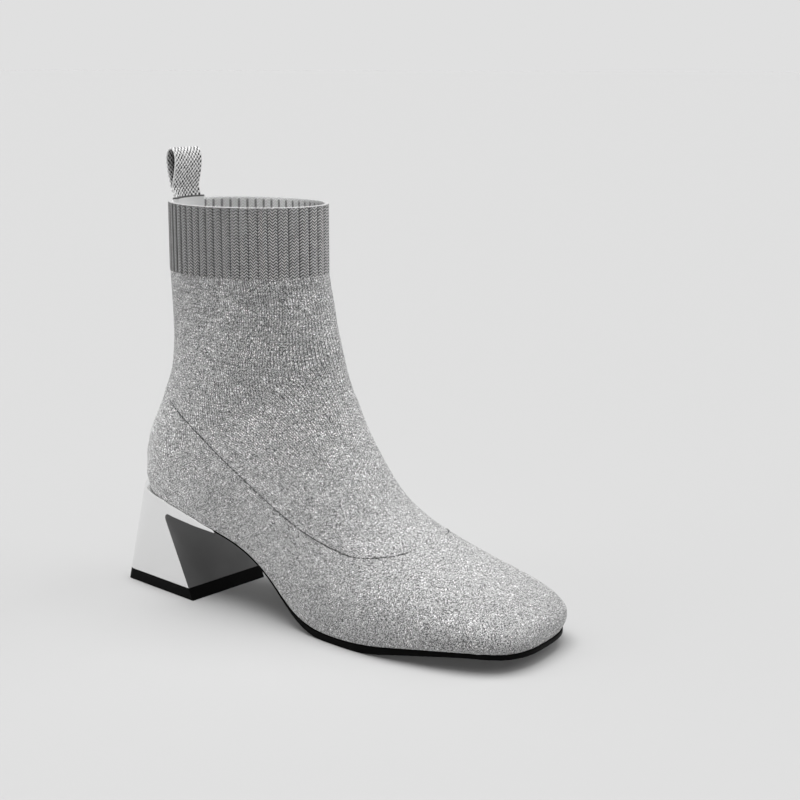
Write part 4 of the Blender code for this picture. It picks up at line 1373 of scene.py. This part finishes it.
class BOOT_OT_ribbed_cuff(bpy.types.Operator):
    """Knit the cuff: ribs outside, a rolled rim and shallow ribs inside"""

    bl_idname = "boot.ribbed_cuff"
    bl_label = "Ribbed cuff"

    def execute(self, context):
        settings = context.scene.boot_knit
        ribs = (np.arange(2 * SIDE_RIBS)[:, None] + RIB_PHASES).ravel()
        count = len(ribs)
        side_ribs = np.append(ribs[:count // 2], SIDE_RIBS)
        ring = section_row(section_values([LAST_SECTION])[0], LAST_SECTION, side_ribs)[:-1]
        normals = plan_normals(ring)
        rib = np.sqrt(1 - np.abs(2 * (ribs % 1.0) - 1) ** RIB_SQUARE)
        rib = settings.rib_depth / MM * (rib - 1) + RIB_PROUD

        # Rows up the outside, over the rim and down the inside: height, offset, rib share, rim share
        foot, top = -CUFF_LAP, CUFF_HEIGHT - RIM_RADIUS
        levels = (foot, foot + RIB_FADE, top - RIB_FADE, top)
        spans = zip(levels[:-1], levels[1:], CUFF_ROWS)
        rise = np.concatenate([[foot], *(np.linspace(low, high, steps)[1:] for low, high, steps in spans)])
        grown = smooth_step(rise, *levels[:2])
        ended = smooth_step(rise, *levels[2:])
        turn = np.linspace(0, math.pi, RIM_STEPS)[1:-1]
        rolled = smooth_step(turn, *RIM_ENDS)
        half = (WALL + RIM_PROUD) / 2
        down = np.linspace(0, top - foot, INSIDE_ROWS)
        height = np.concatenate([rise, top + RIM_RADIUS * np.sin(turn), top - down])
        offset = np.concatenate([
            CUFF_PROUD * (1 - grown) + RIM_PROUD * ended,
            RIM_PROUD - half + half * np.cos(turn),
            np.full(len(down), -WALL - INSIDE_DEEPER),
        ])
        inside_share = -INSIDE_RELIEF * smooth_step(down, *INSIDE_RIBS)
        share = np.concatenate([grown * (1 - ended), 0 * turn, inside_share])
        # Share of the roll that carries the rim's painted highlight
        rim = np.concatenate([0 * rise, smooth_step(turn, *RIM_BEGINS) - rolled, 0 * down])
        # The lining: 1 inside, rising to 2 where dashes of painted shade begin in its grooves
        lining = np.concatenate([0 * rise, rolled, 1 + smooth_step(down, *INSIDE_DASHES)])
        out = offset[:, None] + share[:, None] * rib
        points = ring + out[..., None] * normals + height[:, None, None] * UP
        x = points[..., 0]
        # Painted light and shade by place: the factor behind, and what is added towards the front.
        front = smooth_step(x, *CUFF_FRONT)
        inner, outer = (behind + more * front for behind, more in (INSIDE_PAINTED_LIGHT, CUFF_PAINTED_LIGHT))
        tone = np.where((lining >= 1)[:, None], inner, outer)
        index = ring_grid(len(height), count)
        quads = grid_quads(np.concatenate([index, index[:1]]))

        length = np.concatenate([[0.0], np.cumsum(np.hypot(np.diff(height), np.diff(offset)))])
        length = np.append(length, length[-1] + WALL)
        wale = np.append(ribs, 2 * SIDE_RIBS) * WALES_PER_RIB
        pairs = np.stack(np.broadcast_arrays(wale, length[:, None]), axis=-1)
        marks = {
            "rim": np.repeat(rim, count), "inside": np.repeat(lining, count), "tone": tone,
            # Where the grooves carry wide painted shade, behind
            "crowded": 1 - smooth_step(x, *WIDE_GROOVE_SHADE_BEHIND),
        }
        piece = add_mesh("ribbed_cuff", points.reshape(-1, 3), quads, rib_knit(settings),
                         uv=grid_corners(pairs).reshape(-1, 2), marks=marks)
        join_boot(piece, "upper")
        return {"FINISHED"}


class BOOT_OT_seam_stitches(bpy.types.Operator):
    """Sew the seam: short dark stitches along its groove, each a small spindle"""

    bl_idname = "boot.seam_stitches"
    bl_label = "Seam stitches"

    def execute(self, context):
        settings = context.scene.boot_knit
        skin, normals, _ = knit_skin(settings.seam_depth / MM, settings.crease)
        places = skin_places(seam_path(), plain_skin())
        path, away = on_skin(skin, places), on_skin(normals, places)
        distance = travelled(path)
        count = int(distance[-1] / STITCH_PITCH)
        share = np.linspace(0, 1, STITCH_STEPS)
        starts = (np.arange(count) + 0.5) * distance[-1] / count - STITCH_LENGTH / 2
        varied = 1 + STITCH_VARIETY * np.sin(2.4 * np.arange(count) ** 1.3)
        at = starts[:, None] + STITCH_LENGTH * varied[:, None] * share
        middle = np.stack([np.interp(at, distance, axis) for axis in path.T], axis=-1)
        up = np.stack([np.interp(at, distance, axis) for axis in away.T], axis=-1)
        up /= np.linalg.norm(up, axis=-1, keepdims=True)
        along = np.gradient(middle, axis=1)
        along /= np.linalg.norm(along, axis=-1, keepdims=True)
        side = np.cross(along, up)
        along_spindle = STITCH_BLUNT + (1 - 2 * STITCH_BLUNT) * share
        thick = STITCH_RADIUS * np.sin(math.pi * along_spindle) ** STITCH_TAPER
        turn = np.linspace(0, 2 * math.pi, STITCH_SIDES, endpoint=False)
        ring = np.cos(turn)[:, None] * side[:, :, None] + np.sin(turn)[:, None] * up[:, :, None]
        lift = STITCH_LIFT * thick - STITCH_SINK * (1 - seam_shown(middle))
        lifted = middle + lift[..., None] * up
        points = lifted[:, :, None] + thick[None, :, None, None] * ring
        index = ring_grid(len(share), len(turn))
        shift = len(share) * len(turn) * np.arange(count)[:, None, None]
        quads = (grid_quads(index) + shift).reshape(-1, 4).tolist()
        caps = np.stack([index[0, -2::-1], index[-1, :-1]])
        quads += (caps + shift).reshape(-1, len(turn)).tolist()
        piece = add_mesh("seam_stitches", points.reshape(-1, 3), quads, stitch_thread())
        join_boot(piece)
        return {"FINISHED"}


class BOOT_OT_heel_block(bpy.types.Operator):
    """Plate the heel block: the hull of floor plan and seat, less the sole's recess and the notch"""

    bl_idname = "boot.heel_block"
    bl_label = "Heel block"

    def execute(self, context):
        settings = context.scene.boot_sole
        plating = satin_plating("satin_plating", settings.plating_colour, settings.plating_roughness, 1.0)
        # In the notch the plating is darker, a painted dark reflection, and darker still towards its foot as
        # painted shade.
        notch_dark_reflection = satin_plating("smoked_plating", settings.notch_reflection_colour, settings.notch_roughness,
                               NOTCH_METAL, NOTCH_FOOT_SHADE)
        piece = heel_slab("heel_block", TOP_LIFT + GAP, True, plating)
        edge = sole_offset(SOLE_STATIONS) + GAP
        recess = capped([
            sole_ring(edge, lambda x: sole_bottom(x) - GAP),
            sole_ring(edge, lambda x: sole_bottom(x) + SEAT_HEIGHT),
        ])
        carve(piece, add_mesh("recess", *recess, plating), add_mesh("notch", *notch_prism(), notch_dark_reflection))
        join_boot(piece, "heel")
        soften(piece, settings.heel_edge)
        return {"FINISHED"}


class BOOT_OT_top_lift(bpy.types.Operator):
    """Mould the top lift, which carries the block's slopes down to the floor"""

    bl_idname = "boot.top_lift"
    bl_label = "Top lift"

    def execute(self, context):
        settings = context.scene.boot_sole
        rubber = moulded_rubber("lift_rubber", settings, LIFT_TREAD)
        piece = heel_slab("top_lift", TOP_LIFT, False, rubber)
        carve(piece, add_mesh("notch", *notch_prism(), rubber))
        join_boot(piece, "heel_top_lift")
        soften(piece, settings.lift_edge)
        return {"FINISHED"}


class BOOT_OT_outsole(bpy.types.Operator):
    """Mould the outsole: its edge rounded by quarter circles above and below"""

    bl_idname = "boot.outsole"
    bl_label = "Outsole"

    def execute(self, context):
        settings = context.scene.boot_sole
        edge = sole_offset(SOLE_STATIONS)
        radius = min(settings.sole_edge / MM, THICKNESS[:, 1].min() * SOLE_EDGE_MOST)
        turn = np.linspace(0, math.pi / 2, EDGE_STEPS)
        rings = [rounded_ring(edge, radius, t, sole_top, -1) for t in turn[::-1]]
        rings += [rounded_ring(edge, radius, t, sole_bottom, 1) for t in turn]
        rubber = moulded_rubber("sole_rubber", settings, SOLE_TREAD)
        piece = add_mesh("outsole_rubber", *capped(rings), rubber)
        join_boot(piece, "outsole")
        return {"FINISHED"}


class BOOT_OT_insole(bpy.types.Operator):
    """Cover the insole: a board with a rounded upper edge"""

    bl_idname = "boot.insole"
    bl_label = "Insole"

    def execute(self, context):
        edge = np.full(SOLE_STATIONS + 1, -(WALL + INSOLE_CLEARANCE))
        turn = np.linspace(0, math.pi / 2, EDGE_STEPS)
        rings = [sole_ring(edge, feather)]
        for t in turn:
            rings.append(rounded_ring(edge, INSOLE_EDGE, t, lambda x: feather(x) + INSOLE_THICKNESS, -1))
        piece = add_mesh("insole_cover", *capped(rings), insole_cloth(context.scene.boot_sole))
        join_boot(piece, "insole")
        return {"FINISHED"}


class BOOT_OT_tapes(bpy.types.Operator):
    """Weave the pull loop and sew the patch over its tail"""

    bl_idname = "boot.tapes"
    bl_label = "Pull loop and patch"

    def execute(self, context):
        settings = context.scene.boot_sole
        path, normal = loop_path()
        loop = bent_strip(path, normal, TAPE - TAPE_THINNER, LOOP_ENDS,
                          lambda y: WALL + GAP + 0 * y, LOOP_FLAT)
        self.add("pull_tape", loop, loop_weave(settings), "loop_tape", "pull_loop")
        z = np.linspace(RIM_HEIGHT - PATCH_DROP, RIM_HEIGHT + PATCH_RISE, PATCH_POINTS)
        path = np.column_stack([np.full(len(z), PATCH_THICKNESS / 2), z])
        normal = np.tile((1.0, 0.0), (len(z), 1))
        patch = bent_strip(path, normal, PATCH_THICKNESS, PATCH_ENDS, patch_depth, 1.0)
        self.add("patch_tape", patch, patch_cloth(settings), "patch_tape", "collar_patch")
        return {"FINISHED"}

    def add(self, name, strip, finish, slot, node):
        """Add one bent tape as a piece, with its own width and length at each face corner."""
        points, faces, pairs, inner = strip
        corners = np.concatenate([np.asarray(face) for face in faces])
        piece = add_mesh(name, points, faces, finish, uv=pairs[corners], marks={"inner": inner})
        join_boot(piece, node)


class BOOT_OT_stage(bpy.types.Operator):
    """Set the floor, the soft lights and the camera"""

    bl_idname = "boot.stage"
    bl_label = "Stage"

    def execute(self, context):
        settings = context.scene.boot_stage
        self.floor(settings)
        self.backdrop(context.scene, settings)
        for name, *aim, shadow in SUNS:
            self.lamp(name, *aim, getattr(settings, name), shadow)
        camera = bpy.data.cameras.new("camera")
        camera.lens = CAMERA_LENS
        camera.sensor_width = SENSOR_WIDTH
        camera.clip_end = VIEW_END
        eye = bpy.data.objects.new("camera", camera)
        eye.location = place(CAMERA_PLACE)
        eye.rotation_euler = Vector(CAMERA_AIM).to_track_quat("-Z", "Y").to_euler()
        context.collection.objects.link(eye)
        context.scene.camera = eye
        context.scene.view_settings.view_transform = "Standard"
        return {"FINISHED"}

    def floor(self, settings):
        """A broad pale floor of one colour."""
        corners = FLOOR_REACH * np.array(((-1, -1, 0), (1, -1, 0), (1, 1, 0), (-1, 1, 0)))
        mesh = bpy.data.meshes.new("floor")
        mesh.from_pydata(corners.tolist(), [], [(0, 1, 2, 3)])
        finish = Finish("floor_paper", roughness=0.95, specular_ior_level=0.0)
        finish.set(base_color=settings.floor_colour)
        mesh.materials.append(finish.material)
        floor = bpy.data.objects.new("floor", mesh)
        bpy.context.collection.objects.link(floor)

    def backdrop(self, scene, settings):
        """An even surround that lights the boot, and the plain backdrop that camera and plating see."""
        world = bpy.data.worlds.new("studio")
        world.use_nodes = True
        nodes, links = world.node_tree.nodes, world.node_tree.links
        light = nodes["Background"]
        light.inputs["Color"].default_value = (1.0, 1.0, 1.0, 1.0)
        light.inputs["Strength"].default_value = settings.ambient
        plain = nodes.new("ShaderNodeBackground")
        plain.inputs["Color"].default_value = (*settings.backdrop, 1.0)
        seen = nodes.new("ShaderNodeLightPath")
        mix = nodes.new("ShaderNodeMixShader")
        either = nodes.new("ShaderNodeMath")
        either.operation = "MAXIMUM"
        for output, socket in (
            (seen.outputs["Is Camera Ray"], either.inputs[0]),
            (seen.outputs["Is Glossy Ray"], either.inputs[1]),
            (either.outputs[0], mix.inputs[0]),
            (light.outputs[0], mix.inputs[1]),
            (plain.outputs[0], mix.inputs[2]),
            (mix.outputs[0], nodes["World Output"].inputs["Surface"]),
        ):
            links.new(output, socket)
        scene.world = world

    def lamp(self, name, azimuth, elevation, spread, strength, shadow):
        """A broad soft sun that shines from an azimuth, counted from the toe's side, and an elevation."""
        sun = bpy.data.lights.new(name, "SUN")
        sun.energy = strength
        sun.angle = math.radians(spread)
        sun.use_shadow = shadow
        lamp = bpy.data.objects.new(name, sun)
        lamp.visible_glossy = shadow
        a, e = math.radians(azimuth), math.radians(elevation)
        toward = Vector((math.cos(e) * math.cos(a), math.cos(e) * math.sin(a), math.sin(e)))
        lamp.rotation_euler = toward.to_track_quat("Z", "Y").to_euler()
        bpy.context.collection.objects.link(lamp)


OPERATORS = (
    BOOT_OT_knit_body, BOOT_OT_ribbed_cuff, BOOT_OT_seam_stitches, BOOT_OT_heel_block, BOOT_OT_top_lift,
    BOOT_OT_outsole, BOOT_OT_insole, BOOT_OT_tapes, BOOT_OT_stage,
)
SETTINGS = {"boot_knit": BootKnitSettings, "boot_sole": BootSoleSettings, "boot_stage": BootStageSettings}


class BOOT_PT_pieces(bpy.types.Panel):
    """Lists the boot's pieces and their settings"""

    bl_idname = "BOOT_PT_pieces"
    bl_label = "Block heel boot"
    bl_space_type = "VIEW_3D"
    bl_region_type = "UI"
    bl_category = "Boot"

    def draw(self, context):
        for operator in OPERATORS:
            self.layout.operator(operator.bl_idname)
        for name, group in SETTINGS.items():
            box = self.layout.box()
            for setting in group.__annotations__:
                box.prop(getattr(context.scene, name), setting)


CLASSES = (*SETTINGS.values(), *OPERATORS, BOOT_PT_pieces)


def register():
    for group in CLASSES:
        bpy.utils.register_class(group)
    for name, group in SETTINGS.items():
        setattr(bpy.types.Scene, name, PointerProperty(type=group))


def unregister():
    for name in SETTINGS:
        delattr(bpy.types.Scene, name)
    for group in reversed(CLASSES):
        bpy.utils.unregister_class(group)


def main():
    register()
    bpy.ops.boot.knit_body()
    bpy.ops.boot.ribbed_cuff()
    bpy.ops.boot.seam_stitches()
    bpy.ops.boot.heel_block()
    bpy.ops.boot.top_lift()
    bpy.ops.boot.outsole()
    bpy.ops.boot.insole()
    bpy.ops.boot.tapes()
    bpy.ops.boot.stage()


if __name__ == "__main__":
    main()
